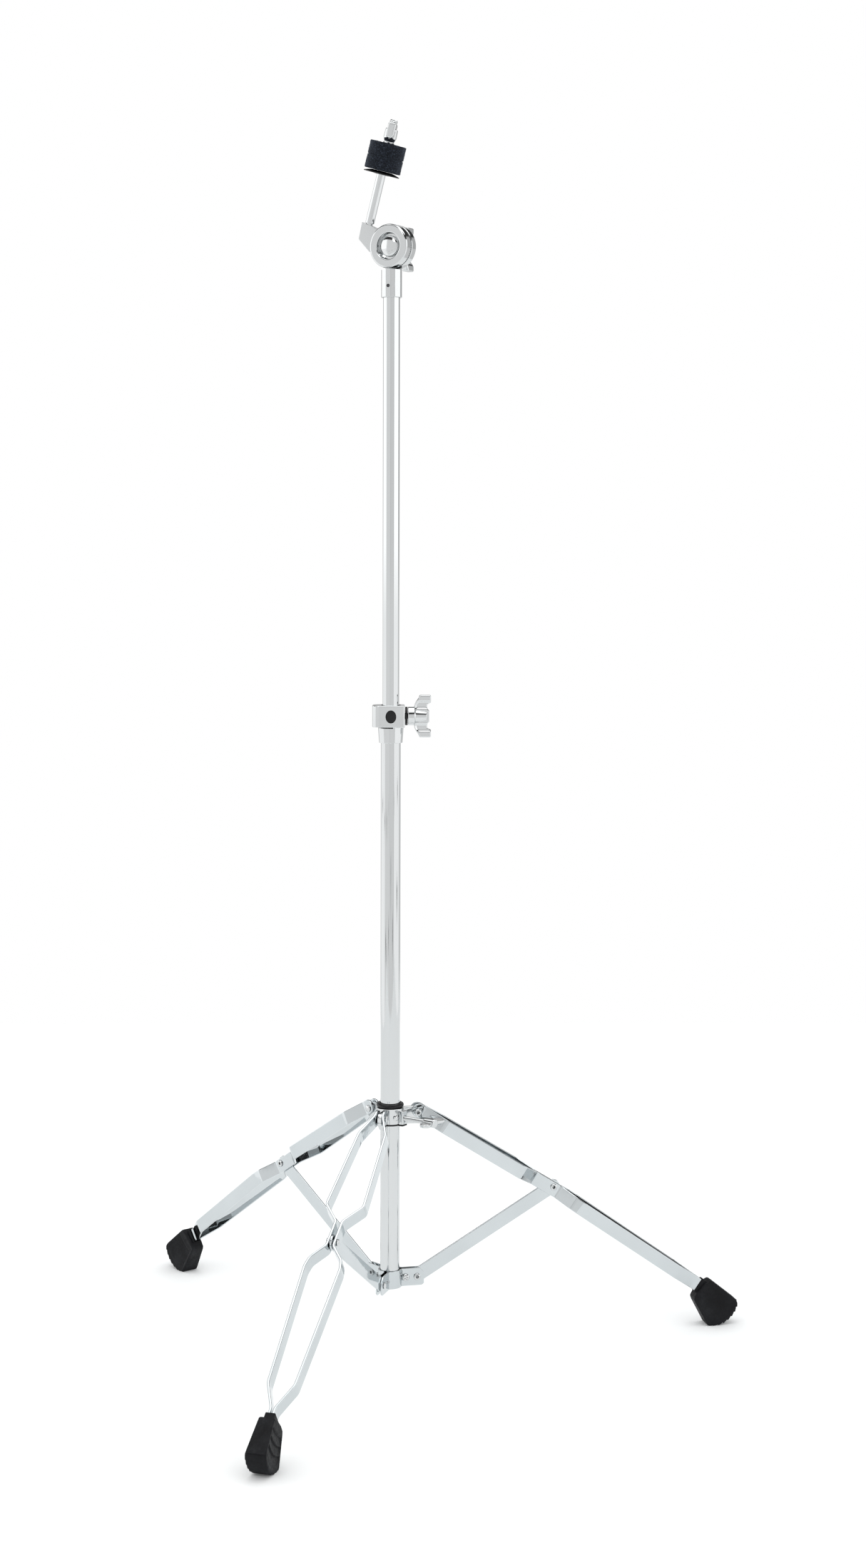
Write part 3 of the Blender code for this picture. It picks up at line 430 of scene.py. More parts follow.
def as_object(name, shape):
    mesh = bpy.data.meshes.new(name)
    shape.to_mesh(mesh)
    shape.free()
    made = bpy.data.objects.new(name, mesh)
    bpy.context.scene.collection.objects.link(made)
    return made


def combined(shape, others, operation):
    """Join shapes to a shape, or cut them away from it, and return the result."""
    target = as_object("target", shape)
    for other in others:
        tool = as_object("tool", other)
        modifier = target.modifiers.new("combine", "BOOLEAN")
        modifier.operation = operation
        modifier.object = tool
        graph = bpy.context.evaluated_depsgraph_get()
        result = bpy.data.meshes.new_from_object(target.evaluated_get(graph))
        target.modifiers.clear()
        target.data = result
        bpy.data.objects.remove(tool, do_unlink=True)
    made = bmesh.new()
    made.from_mesh(target.data)
    bpy.data.objects.remove(target, do_unlink=True)
    bmesh.ops.dissolve_degenerate(made, dist=1e-6, edges=made.edges)
    bmesh.ops.remove_doubles(made, verts=made.verts, dist=1e-6)
    open_edges = [edge for edge in made.edges if edge.is_boundary]
    bmesh.ops.holes_fill(made, edges=open_edges, sides=8)
    return made


def union(shape, *others):
    return combined(shape, others, "UNION")


def cut(shape, *others):
    return combined(shape, others, "DIFFERENCE")


def piece(node, shape, finish, matrix=None, sharp=35.0, weighted=True):
    """Stand a detailed piece in a CAD node's place: on its body, with a finish."""
    if matrix is not None:
        moved(shape, matrix)
    made = as_object(f"{node}_detail", shape)
    made.data.materials.append(finish)
    made.data.shade_smooth()
    made.data.set_sharp_from_angle(angle=math.radians(sharp))
    if weighted:
        normals = made.modifiers.new("weighted normals", "WEIGHTED_NORMAL")
        normals.keep_sharp = True
        normals.weight = 100
    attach(made, BODY_OF[node])
    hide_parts(node)
    return made


def rod_shape(radius, low, high, steps=64, edge=0.4):
    return turned(soft_outline([(0, low), (radius, low), (radius, high), (0, high)], edge), steps)


def plug(radius, low, high, steps=64):
    """A plain cylinder along Z to cut a hole with."""
    return turned([(0, low), (radius, low), (radius, high), (0, high)], steps)


def wedge(outline, low, high):
    """A plain prism along Z to cut with."""
    outline = anticlockwise([tuple(point) for point in outline])
    return tube_of_rings([[(x, y, height) for x, y in outline] for height in (low, high)])


def ring_shape(inner, outer, low, high, steps=96, edge=0.3):
    outline = [(inner, low), (outer, low), (outer, high), (inner, high)]
    return turned(soft_outline(outline, edge), steps)


def threaded(radius, depth, pitch, low, high, steps=40, per_pitch=6):
    """A screw thread along Z with plain, chamfered ends."""
    rows = int((high - low) / pitch * per_pitch)
    rings = []
    for row in range(rows + 1):
        height = low + (high - low) * row / rows
        fade = min(1.0, (height - low) / pitch, (high - height) / pitch)
        ring = []
        for step in range(steps):
            share = (height / pitch - step / steps) % 1.0
            dip = depth * (1 - abs(2 * share - 1)) * fade + depth * 1.1 * (1 - fade)
            angle = TURN * step / steps
            ring.append(((radius - dip) * math.cos(angle), (radius - dip) * math.sin(angle), height))
        rings.append(ring)
    return tube_of_rings(rings)


def smooth_step(low, high, value):
    share = min(1.0, max(0.0, (value - low) / (high - low)))
    return share * share * (3 - 2 * share)


# ---------------------------------------------------------------- materials

def node_of(tree, kind, **values):
    made = tree.nodes.new(kind)
    for name, value in values.items():
        setattr(made, name, value)
    return made


def surface(name, metallic, specular=0.5):
    """A new node material; returns it with its tree, shader and object coordinates."""
    made = bpy.data.materials.new(name)
    made.use_nodes = True
    tree = made.node_tree
    shader = tree.nodes["Principled BSDF"]
    shader.inputs["Metallic"].default_value = metallic
    shader.inputs["Specular IOR Level"].default_value = specular
    place = node_of(tree, "ShaderNodeTexCoord").outputs["Object"]
    return made, tree, shader, place


def noise_value(tree, place, scale, detail=3.0, stretch=(1, 1, 1)):
    mapping = node_of(tree, "ShaderNodeMapping")
    mapping.inputs["Scale"].default_value = stretch
    tree.links.new(place, mapping.inputs["Vector"])
    made = node_of(tree, "ShaderNodeTexNoise")
    made.inputs["Scale"].default_value = scale
    made.inputs["Detail"].default_value = detail
    tree.links.new(mapping.outputs["Vector"], made.inputs["Vector"])
    return made.outputs["Fac"]


def ramp(tree, value, stops):
    """Colours along a value: stops are (position, colour)."""
    made = node_of(tree, "ShaderNodeValToRGB")
    elements = made.color_ramp.elements
    while len(elements) < len(stops):
        elements.new(0.5)
    for element, (position, colour) in zip(elements, stops):
        element.position = position
        element.color = (*colour, 1.0)
    tree.links.new(value, made.inputs["Fac"])
    return made.outputs["Color"]


def spread(tree, value, low, high):
    """Map the middle of a noise value to a range of numbers."""
    made = node_of(tree, "ShaderNodeMapRange")
    made.inputs["From Min"].default_value = 0.3
    made.inputs["From Max"].default_value = 0.7
    made.inputs["To Min"].default_value = low
    made.inputs["To Max"].default_value = high
    tree.links.new(value, made.inputs["Value"])
    return made.outputs["Result"]


def bump(tree, shader, height, strength, distance, before=None):
    made = node_of(tree, "ShaderNodeBump")
    made.inputs["Strength"].default_value = strength
    made.inputs["Distance"].default_value = distance
    tree.links.new(height, made.inputs["Height"])
    if before is not None:
        tree.links.new(before, made.inputs["Normal"])
    tree.links.new(made.outputs["Normal"], shader.inputs["Normal"])
    return made.outputs["Normal"]


def chrome(name, tone, waviness, wave_scale, stretch=(1, 1, 1), roughness=(0.035, 0.085)):
    """Plated metal: a slightly uneven tone, fine smudges in the gloss and a faint waviness."""
    made, tree, shader, place = surface(name, 1.0)
    uneven = noise_value(tree, place, 18.0, 4.0, stretch)
    darker = tuple(channel * 0.94 for channel in tone)
    tree.links.new(ramp(tree, uneven, [(0.3, darker), (0.62, tone)]), shader.inputs["Base Color"])
    smudge = noise_value(tree, place, 260.0, 5.0, stretch)
    tree.links.new(spread(tree, smudge, *roughness), shader.inputs["Roughness"])
    waves = noise_value(tree, place, wave_scale, 2.0, stretch)
    first = bump(tree, shader, waves, waviness, 0.0006)
    grain = noise_value(tree, place, 1400.0, 2.0, stretch)
    bump(tree, shader, grain, 0.02, 0.00005, first)
    return made


def mottled(name, metallic, specular, pattern, tones, gloss_pattern, gloss, bumps):
    """A material with tones and gloss that follow noises, and bumps laid one on another.

    A noise is (scale, detail, stretch), and a bump is (scale, detail, strength, distance). Without
    a noise of its own, the gloss follows the tones' noise.
    """
    made, tree, shader, place = surface(name, metallic, specular)
    uneven = noise_value(tree, place, *pattern)
    tree.links.new(ramp(tree, uneven, tones), shader.inputs["Base Color"])
    if gloss_pattern:
        uneven = noise_value(tree, place, *gloss_pattern)
    tree.links.new(spread(tree, uneven, *gloss), shader.inputs["Roughness"])
    before = None
    for scale, detail, strength, distance in bumps:
        before = bump(tree, shader, noise_value(tree, place, scale, detail), strength, distance, before)
    return made


def black_plastic():
    """Moulded nylon: near black with a soft gloss and a fine grain."""
    tones = [(0.3, (0.003, 0.003, 0.0035)), (0.7, (0.007, 0.007, 0.008))]
    bumps = [(2200.0, 2.0, 0.12, 0.0001)]
    return mottled("black_plastic", 0.0, 0.3, (120.0, 4.0), tones, (700.0,), (0.26, 0.42), bumps)


def rubber():
    """Moulded rubber: charcoal, matte, slightly dusty on a coarse scale, pebbled on a fine one."""
    tones = [(0.3, (0.004, 0.004, 0.005)), (0.55, (0.007, 0.0075, 0.009)), (0.75, (0.014, 0.015, 0.017))]
    bumps = [(900.0, 3.0, 0.25, 0.0002), (3500.0, 2.0, 0.15, 0.0001)]
    return mottled("rubber", 0.0, 0.16, (70.0, 6.0), tones, (500.0, 4.0), (0.5, 0.72), bumps)


def felt():
    """Pressed wool: blue-black with paler fibres, fully matte, with a soft sheen."""
    tones = [(0.34, (0.001, 0.0012, 0.002)), (0.5, (0.005, 0.0065, 0.010)),
             (0.60, (0.013, 0.017, 0.025)), (0.76, (0.05, 0.062, 0.082))]
    bumps = [(420.0, 5.0, 0.6, 0.0006), (2500.0, 3.0, 0.5, 0.0003)]
    pattern = (650.0, 7.0, (1, 1, 1.8))
    made = mottled("felt", 0.0, 0.15, pattern, tones, None, (0.88, 1.0), bumps)
    shader = made.node_tree.nodes["Principled BSDF"]
    shader.inputs["Sheen Weight"].default_value = 0.10
    shader.inputs["Sheen Roughness"].default_value = 0.6
    shader.inputs["Sheen Tint"].default_value = (0.6, 0.7, 0.9, 1.0)
    return made


def dark_steel():
    tones = [(0.3, (0.035, 0.036, 0.04)), (0.7, (0.09, 0.09, 0.095))]
    pattern = (200.0, 4.0, (1, 1, 0.3))
    bumps = [(1500.0, 3.0, 0.1, 0.0001)]
    return mottled("dark_steel", 1.0, 0.5, pattern, tones, None, (0.25, 0.45), bumps)


CHROME_TONE = (0.63, 0.645, 0.65)
TUBE_CHROME = chrome("chrome_tube", CHROME_TONE, 0.05, 30.0, (1, 1, 0.12), (0.03, 0.06))
STRIP_CHROME = chrome("chrome_strip", (0.59, 0.625, 0.64), 0.10, 45.0, roughness=(0.03, 0.07))
CAST_CHROME = chrome("chrome_cast", CHROME_TONE, 0.16, 90.0, roughness=(0.05, 0.11))
BLACK = black_plastic()
RUBBER = rubber()
FELT = felt()
DARK_STEEL = dark_steel()


# ---------------------------------------------------------------- mast

def make_tubes():
    def tube(radius, low, high):
        return ring_shape(radius - TUBE_WALL, radius, low, high, 128, 0.4)

    lower = tube(LOWER_TUBE_RADIUS, LOWER_TUBE_BOTTOM, LOWER_TUBE_TOP)
    piece("lower_tube", lower, TUBE_CHROME, STAND)
    upper = tube(UPPER_TUBE_RADIUS, UPPER_TUBE_BOTTOM, UPPER_TUBE_TOP)
    hole = moved(plug(1.6, -12, 12, 24), at(0, 0, SOCKET_PIN_Z) @ PIN_DIRECTION)
    piece("upper_tube", cut(upper, hole), TUBE_CHROME, STAND)


def oval_peg(half_width, half_height, near, far, edge):
    outline = [(half_width * math.cos(TURN * step / 48), half_height * math.sin(TURN * step / 48))
               for step in range(48)]
    shape = slab(outline, near, far, edge, 4)
    return moved(shape, at(0, 0, CLAMP_SCREW_Z) @ TOWARDS_ARM)


def make_clamp():
    """The block is cast around the tube; the slit separates it from its ferrule on the left."""
    corner = 7.5
    right_corner = 1.6
    outline = []
    for x, y, radius, start in ((CLAMP_RIGHT, -CLAMP_FRONT, right_corner, 0),
                                (CLAMP_LEFT, -CLAMP_FRONT, corner, -90),
                                (CLAMP_LEFT, CLAMP_FRONT, corner, -180),
                                (CLAMP_RIGHT, CLAMP_FRONT, right_corner, -270)):
        centre = (x - math.copysign(radius, x), y - math.copysign(radius, y))
        outline += arc(centre, radius, start, start - 90, 10)
    body = slab(outline, CLAMP_BLOCK_BOTTOM - 0.5, CLAMP_HIGH, 1.0, 4)
    ferrule = turned(soft_outline([
        (0, CLAMP_LOW), (11.2, CLAMP_LOW), (12.3, CLAMP_BLOCK_BOTTOM), (0, CLAMP_BLOCK_BOTTOM),
    ], 0.7), 128)
    body = union(body, ferrule)
    bore = turned([
        (0, CLAMP_LOW - 5), (CLAMP_BORE_RADIUS, CLAMP_LOW - 5), (CLAMP_BORE_RADIUS, CLAMP_HIGH - 0.5),
        (CLAMP_BORE_RADIUS + 0.9, CLAMP_HIGH + 0.4), (CLAMP_BORE_RADIUS + 0.9, CLAMP_HIGH + 5),
        (0, CLAMP_HIGH + 5),
    ], 128)
    slit = slab([(-30, -20), (1.5, -20), (3.0, 0), (1.5, 20), (-30, 20)],
                CLAMP_BLOCK_BOTTOM - 1.3, CLAMP_BLOCK_BOTTOM - 0.1, 0.1, 1)
    screw_hole = moved(plug(3.3, 8, 20, 40), at(0, 0, CLAMP_SCREW_Z) @ ALONG_X)
    body = cut(body, bore, slit, oval_peg(5.1, 6.2, 8, 20, 0.1), screw_hole)
    piece("clamp_body", body, CAST_CHROME, STAND, 30)

    bushing = ring_shape(UPPER_TUBE_RADIUS + 0.22, 9.5, LOWER_TUBE_TOP + GAP, CLAMP_HIGH - 0.6, 128, 0.3)
    bushing = union(bushing, oval_peg(4.8, 5.9, 9.2, CLAMP_FRONT + 0.3, 0.6))
    piece("clamp_bushing", bushing, BLACK, STAND)

    start = CLAMP_RIGHT + GAP
    washer = ring_shape(3.3, 8.85, start, start + CLAMP_WASHER_THICKNESS, 96, 0.5)
    piece("clamp_washer", washer, BLACK, STAND @ at(0, 0, CLAMP_SCREW_Z) @ ALONG_X)

    shank = threaded(3.0, 0.3, 1.0, -5.8, 0.5)
    screw = joined(mast_wing_body(0), shank)
    piece("clamp_wing_screw", screw, CAST_CHROME, CLAMP_SCREW, 40)


def wing_half(side):
    """One thick cast wing: it flares away from its hub, with a thumb hollow and a raised tip."""
    span, tall, thick = 17.2, 13.0, 7.0

    def place(u, v, w):
        u, v, w = rounded_in_box((u, v, w), (span, tall, thick), 1.3)
        distance = 3.0 + span * u
        under = 5.8 + 5.0 * smooth_step(0.2, 1.0, u) ** 1.8
        top = 20.3 - 1.9 * smooth_step(0.12, 0.26, u) + 3.5 * smooth_step(0.46, 0.6, u)
        hollow = smooth_step(0.2, 0.34, u) * (1 - smooth_step(0.58, 0.72, u))
        half = 3.5 - 1.3 * hollow * smooth_step(0.0, 0.25, v)
        return (side * distance, (w * 2 - 1) * half, under + (top - under) * v)

    return block((34, 14, 10), place)


def mast_wing_body(bore_radius):
    """The large wing nut: a round flange, a neck and two wings that meet in a flat middle block."""
    profile = soft_outline([
        (0, 0), (8.85, 0), (8.85, 6.4), (7.2, 7.0), (6.4, 12.0), (5.6, 18.0), (0, 18.2),
    ], 0.7, 4)
    body = turned(profile, 96)
    middle = [(-6.0, 6.5), (6.0, 6.5), (4.9, 20.3), (-4.9, 20.3)]
    middle = moved(slab(soft_outline(middle, 1.4), -4.2, 4.2, 0.8, 3), TOWARDS_ARM)
    body = union(body, middle, wing_half(1), wing_half(-1))
    if bore_radius:
        body = cut(body, plug(bore_radius, -1, 30, 48))
    return body


# ---------------------------------------------------------------- folding legs

def strip_line(distance, height):
    """A point on a leg strip's centre line in the leg's plane, as (radius, z)."""
    lean = math.asin(2 * STRIP_OFFSET / ARM_LENGTH)
    tilt = ARM_TILT - lean
    along = Vector((math.sin(tilt), -math.cos(tilt)))
    across = Vector((math.cos(tilt), math.sin(tilt)))
    start = Vector((PIVOT_RADIUS, COLLAR_PIVOT_Z)) + across * STRIP_OFFSET
    bend = ARM_LENGTH * math.cos(lean) + STRIP_BEND_AFTER_PIVOT
    bend_point = start + along * bend
    below = (Vector(FOOT_ENTRY) - bend_point).normalized()
    if distance <= bend:
        return start + along * distance + across * height
    return bend_point + below * (distance - bend) + Vector((-below.y, below.x)) * height


def strip_length():
    lean = math.asin(2 * STRIP_OFFSET / ARM_LENGTH)
    bend = ARM_LENGTH * math.cos(lean) + STRIP_BEND_AFTER_PIVOT
    return bend + (Vector(FOOT_ENTRY) - strip_line(bend, 0)).length


def rounded_corner(before, corner, after, radius, steps):
    before, corner, after = Vector(before), Vector(corner), Vector(after)
    start = corner + (before - corner).normalized() * radius
    end = corner + (after - corner).normalized() * radius
    return soft_corner(start, corner, end, steps)


def strip_path():
    """Half the distance between the two strips of a leg, along the leg, with soft corners."""
    end = strip_length()
    corners = [
        (4.0, TOP_HALF_GAP), (28.0, 13.2), (119.0, 18.0), (ARM_LENGTH - 22.0, MID_HALF_GAP),
        (ARM_LENGTH + 7.0, MID_HALF_GAP), (ARM_LENGTH + 22.0, 15.0), (ARM_LENGTH + 32.0, 17.0),
        (end - 29.0, 12.4), (end - 4.5, FOOT_HALF_GAP),
    ]
    last = (end + STRIP_INSIDE_FOOT, FOOT_HALF_GAP)
    full = [(0.0, TOP_HALF_GAP)] + corners + [last]
    path = []
    for before, corner, after in zip(full, corners, full[2:]):
        path += rounded_corner(before, corner, after, 2.6, 6)
    return path + [Vector(last)]


def bar_section(half_width, half_thickness, rounding):
    """Points round a flat bar's section as (across the thickness, across the width)."""
    rounding = min(rounding, half_width * 0.9, half_thickness * 0.9)
    section = []
    for sign_t, sign_w, start in ((1, 1, 0), (-1, 1, 90), (-1, -1, 180), (1, -1, 270)):
        centre = (sign_t * (half_thickness - rounding), sign_w * (half_width - rounding))
        section += arc(centre, rounding, start, start + 90, 3)
    return section


def leg_strip(side, number):
    """One bent strip of a leg, rounded over its top end."""
    half_width = STRIP_WIDTH / 2
    angles = [math.radians(angle) for angle in (8, 20, 35, 50, 65, 78)]
    nose = [Vector((-half_width * math.cos(angle), TOP_HALF_GAP)) for angle in angles]
    widths = [half_width * math.sin(angle) for angle in angles]
    path = nose + [Vector((0.0, TOP_HALF_GAP))] + strip_path()
    widths += [half_width] * (len(path) - len(widths))
    rings = []
    for index, here in enumerate(path):
        mitre = mitre_at(path, index)
        ring = []
        for depth, height in bar_section(widths[index], STRIP_THICKNESS / 2, STRIP_ROUNDING):
            place = here + mitre * depth
            radius, z = strip_line(place.x, height)
            ring.append((radius - MID_PIVOT_RADIUS, place.y * side, z - MID_PIVOT_Z))
        rings.append(ring)
    top = at(PIVOT_RADIUS - MID_PIVOT_RADIUS, 0, COLLAR_PIVOT_Z - MID_PIVOT_Z)
    strip = tube_of_rings(rings)
    holes = [moved(plug(RIVET_HOLE_RADIUS, -30, 30, 32), centre @ ALONG_Y)
             for centre in (Matrix.Identity(4), top)]
    label = "left" if side > 0 else "right"
    piece(f"leg_{number}_strip_{label}", cut(strip, *holes), STRIP_CHROME,
          leg_frame(number, MID_PIVOT_RADIUS, MID_PIVOT_Z), 40)


def brace(number):
    """The flat brace: rounded at its middle rivet, cut to blunt corners at the hub."""
    half = BRACE_WIDTH / 2
    outline = [(-6.0, -3.2), (-3.4, -6.0), (-0.6, -half + 0.1)]
    outline += arc((ARM_LENGTH, 0), half, -90, 90, 16)
    outline += [(-0.6, half - 0.1), (-3.4, 6.0), (-6.0, 3.2)]
    flat = slab(outline, -STRIP_THICKNESS / 2, STRIP_THICKNESS / 2, STRIP_ROUNDING, 3)
    holes = [plug(RIVET_HOLE_RADIUS, -5, 5, 32),
             moved(plug(RIVET_HOLE_RADIUS, -5, 5, 32), at(ARM_LENGTH, 0, 0))]
    raised = Matrix.Rotation(ARM_TILT - math.pi / 2, 4, "Y") @ ALONG_Y
    piece(f"brace_{number}", cut(flat, *holes), STRIP_CHROME,
          leg_frame(number, PIVOT_RADIUS, HUB_PIVOT_Z) @ raised, 40)


def rivet(half_grip, eyelet_side):
    """A rivet along Z: a domed head at one end and a rolled eyelet at the other."""
    head = half_grip + GAP
    top = head + RIVET_HEAD_HEIGHT
    radius = RIVET_HEAD_RADIUS
    shank = 2.2
    angles = [math.radians(angle) for angle in (90, 75, 60, 45, 30, 15)]
    dome = [(radius * math.sin(angle), head + 0.35 + 1.15 * math.cos(angle)) for angle in angles]
    eyelet = [(radius, head + 0.5), (radius - 0.25, head + 1.1), (radius - 0.8, top - 0.1),
              (radius - 1.4, top), (radius - 1.9, top - 0.3), (1.3, head + 0.3), (1.25, -half_grip + 1.0),
              (0, -half_grip + 0.7)]
    rim = [(shank, head), (radius - 0.2, head), (radius, head + 0.3)]
    upper = rim + eyelet
    lower = rim + dome + [(0, top)]
    profile = [(r, -z) for r, z in reversed(lower)] + upper
    return moved(turned(profile, 40), Matrix.Rotation(0 if eyelet_side > 0 else math.pi, 4, "X"))


def foot_place(s, t, w):
    """A point of the foot: s from the mouth to the tread, t from its inner to its outer edge."""
    deep, wide, thick = 34.0, 34.0, 17.0
    side = w * 2 - 1
    s_in, t_in = s, t
    s, t, w = rounded_in_box((s, t, w), (deep, wide, thick), 1.7)
    axis = Vector((math.sin(FOOT_AXIS_TILT), -math.cos(FOOT_AXIS_TILT)))
    across = Vector((-axis.y, axis.x))
    centre = Vector((FOOT_ENTRY[0] + FOOT_ARC_CENTRE[0], FOOT_ARC_CENTRE[1]))
    reach = (centre - Vector(FOOT_ENTRY)).dot(axis)
    angle = math.radians(FOOT_ARC_START + FOOT_ARC_SWEEP * t)
    tooth = (FOOT_TEETH * t) % 1.0
    radius = FOOT_ARC_RADIUS - 1.3 * tooth * smooth_step(0.85, 0.97, s)
    mouth = Vector((FOOT_MOUTH, FOOT_NECK_HALF * (2 * t - 1)))
    tread = Vector((reach + radius * math.cos(angle), radius * math.sin(angle)))
    shoulder = 2.1 * max(0.0, abs(2 * t_in - 1) - 0.5) / 0.5 * max(0.0, 1 - s_in / 0.16)
    flat = mouth + (tread - mouth) * s + Vector((shoulder, 0))
    half = FOOT_THICK_TOP + (FOOT_THICK_BOTTOM - FOOT_THICK_TOP) * min(1.0, s * 1.1)
    depth = (2 * w - 1) * half
    if abs(side) == 1:
        rib = ((s_in - 0.25) * 5.0) % 1.0
        ribs = 1.0 if side > 0 and 0.25 <= s_in < 0.85 else 0.0
        ribs *= smooth_step(0.08, 0.14, t_in) * (1 - smooth_step(0.90, 0.96, t_in))
        panel = smooth_step(0.05, 0.10, t_in) * (1 - smooth_step(0.97, 1.0, t_in))
        panel *= smooth_step(0.06, 0.12, s_in) * (1 - smooth_step(0.86, 0.95, s_in))
        depth -= side * (0.4 * panel * (1 - ribs) + 1.5 * ribs * (1 - rib))
    if t_in == 1 and abs(side) < 0.12:
        flat -= across * 0.45 * (1 - smooth_step(0.9, 1.0, s_in))
    place = Vector(FOOT_ENTRY) + axis * flat.x + across * flat.y
    return (place.x, depth, max(0.0, place.y))


def foot(number):
    """The rubber foot: a fan with a saw-toothed tread, ribbed sides and a lip round the strips."""
    body = block((40, 64, 20), foot_place)
    end = strip_length()

    def lip_place(u, v, w):
        u, v, w = rounded_in_box((u, v, w), (7.4, 15.4, 9.2), 0.6)
        radius, z = strip_line(end + FOOT_MOUTH - 3.2 + 7.4 * u, (v - 0.5) * (STRIP_WIDTH + 1.9))
        return (radius, (w - 0.5) * 9.2, z)

    def slot_place(u, v, w):
        radius, z = strip_line(end - 8 + (STRIP_INSIDE_FOOT + 8.6) * u, (v - 0.5) * (STRIP_WIDTH + 0.7))
        return (radius, (w - 0.5) * 2 * (FOOT_HALF_GAP + STRIP_THICKNESS / 2 + 0.35), z)

    body = union(body, block((8, 10, 8), lip_place))
    body = cut(body, block((3, 2, 1), slot_place))
    piece(f"foot_{number}", body, RUBBER, STAND @ spin_z(LEG_AZIMUTHS[number - 1]), 50)


def make_legs():
    for number in (1, 2, 3):
        brace(number)
        leg_strip(1, number)
        leg_strip(-1, number)
        foot(number)
        middle = leg_frame(number, MID_PIVOT_RADIUS, MID_PIVOT_Z) @ ALONG_Y
        piece(f"mid_rivet_{number}", rivet(MID_HALF_GAP + STRIP_THICKNESS / 2, 1 if number == 2 else -1),
              CAST_CHROME, middle, 50)


# ---------------------------------------------------------------- bottom hub

def sheet_outline(path, thickness):
    """The outline of a bent sheet of some thickness around an open flat path."""
    sides = ([], [])
    for index, here in enumerate(path):
        across = mitre_at(path, index) * (thickness / 2)
        sides[0].append(here + across)
        sides[1].append(here - across)
    return sides[0] + sides[1][::-1]


def hub_plate(number):
    """A pressed plate that wraps a third of the tube and ends in a flange at each leg."""
    turn = TURN / 3
    spread_angle = math.asin(HUB_FLANGE_OFFSET / HUB_WRAP_RADIUS)
    root = HUB_WRAP_RADIUS * math.cos(spread_angle)
    beside = Matrix.Rotation(turn, 2)
    first = [Vector((FLANGE_END_RADIUS, HUB_FLANGE_OFFSET)), Vector((root + 1.6, HUB_FLANGE_OFFSET))]
    last = [beside @ Vector((p.x, -p.y)) for p in reversed(first)]
    bend = 0.16
    angles = [spread_angle + bend + (turn - 2 * spread_angle - 2 * bend) * step / 24 for step in range(25)]
    wrap = [Vector((HUB_WRAP_RADIUS * math.cos(angle), HUB_WRAP_RADIUS * math.sin(angle)))
            for angle in angles]
    path = first[:1] + rounded_corner(first[0], first[1], wrap[0], 0.8, 3) + wrap
    path += rounded_corner(wrap[-1], last[0], last[1], 0.8, 3) + last[1:]
    low = HUB_PIVOT_Z - PLATE_HEIGHT / 2
    plate = slab(sheet_outline(path, PLATE_THICKNESS), low, low + PLATE_HEIGHT, 0.35, 2)
    cuts = []
    for angle in (0, turn):
        for radius, hole in ((HUB_SCREW_RADIUS, 2.0), (PIVOT_RADIUS, RIVET_HOLE_RADIUS)):
            place = spin_z(angle) @ at(radius, 0, HUB_PIVOT_Z) @ ALONG_Y
            cuts.append(moved(plug(hole, -5, 5, 32), place))
        end = FLANGE_END_RADIUS + 2
        upper = [(end, 10), (end, 2.0), (FLANGE_END_RADIUS - 4.5, 8.8), (FLANGE_END_RADIUS - 6, 10)]
        lower = [(end, -10), (end, -5.5), (FLANGE_END_RADIUS - 2.5, -8.8), (FLANGE_END_RADIUS - 4, -10)]
        for corner in (upper, lower):
            cutter = wedge(corner, -6, 6)
            cuts.append(moved(cutter, spin_z(angle) @ at(0, 0, HUB_PIVOT_Z) @ TOWARDS_ARM))
    piece(f"hub_plate_{number}", cut(plate, *cuts), STRIP_CHROME,
          STAND @ spin_z(LEG_AZIMUTHS[number - 1]), 30)


def hub_screw(number):
    """A pan-head cross-recess screw."""
    face = HUB_FLANGE_OFFSET + PLATE_THICKNESS / 2
    head = face + GAP
    profile = [(0, -face - 1.0), (1.7, -face - 1.0), (1.7, head), (3.4, head), (3.65, head + 0.3),
               (3.6, head + 1.0), (3.2, head + 1.7), (2.4, head + 2.2), (1.2, head + 2.4), (0, head + 2.4)]
    shape = turned(profile, 48)
    arms = []
    for angle in (25, 115):
        arm = wedge([(-2.1, -0.45), (2.1, -0.45), (2.1, 0.45), (-2.1, 0.45)], head + 0.9, head + 4)
        arms.append(moved(arm, spin_z(math.radians(angle))))
    frame_here = leg_frame(number, HUB_SCREW_RADIUS, HUB_PIVOT_Z)
    piece(f"hub_screw_{number}", cut(shape, *arms), CAST_CHROME, frame_here @ TOWARDS_ARM, 35)


def make_hub():
    for number in (1, 2, 3):
        hub_plate(number)
        hub_screw(number)
        pin = leg_frame(number, PIVOT_RADIUS, HUB_PIVOT_Z) @ ALONG_Y
        shape = rivet(HUB_FLANGE_OFFSET + PLATE_THICKNESS / 2, -1)
        piece(f"hub_rivet_{number}", shape, CAST_CHROME, pin, 50)


# ---------------------------------------------------------------- sliding collar

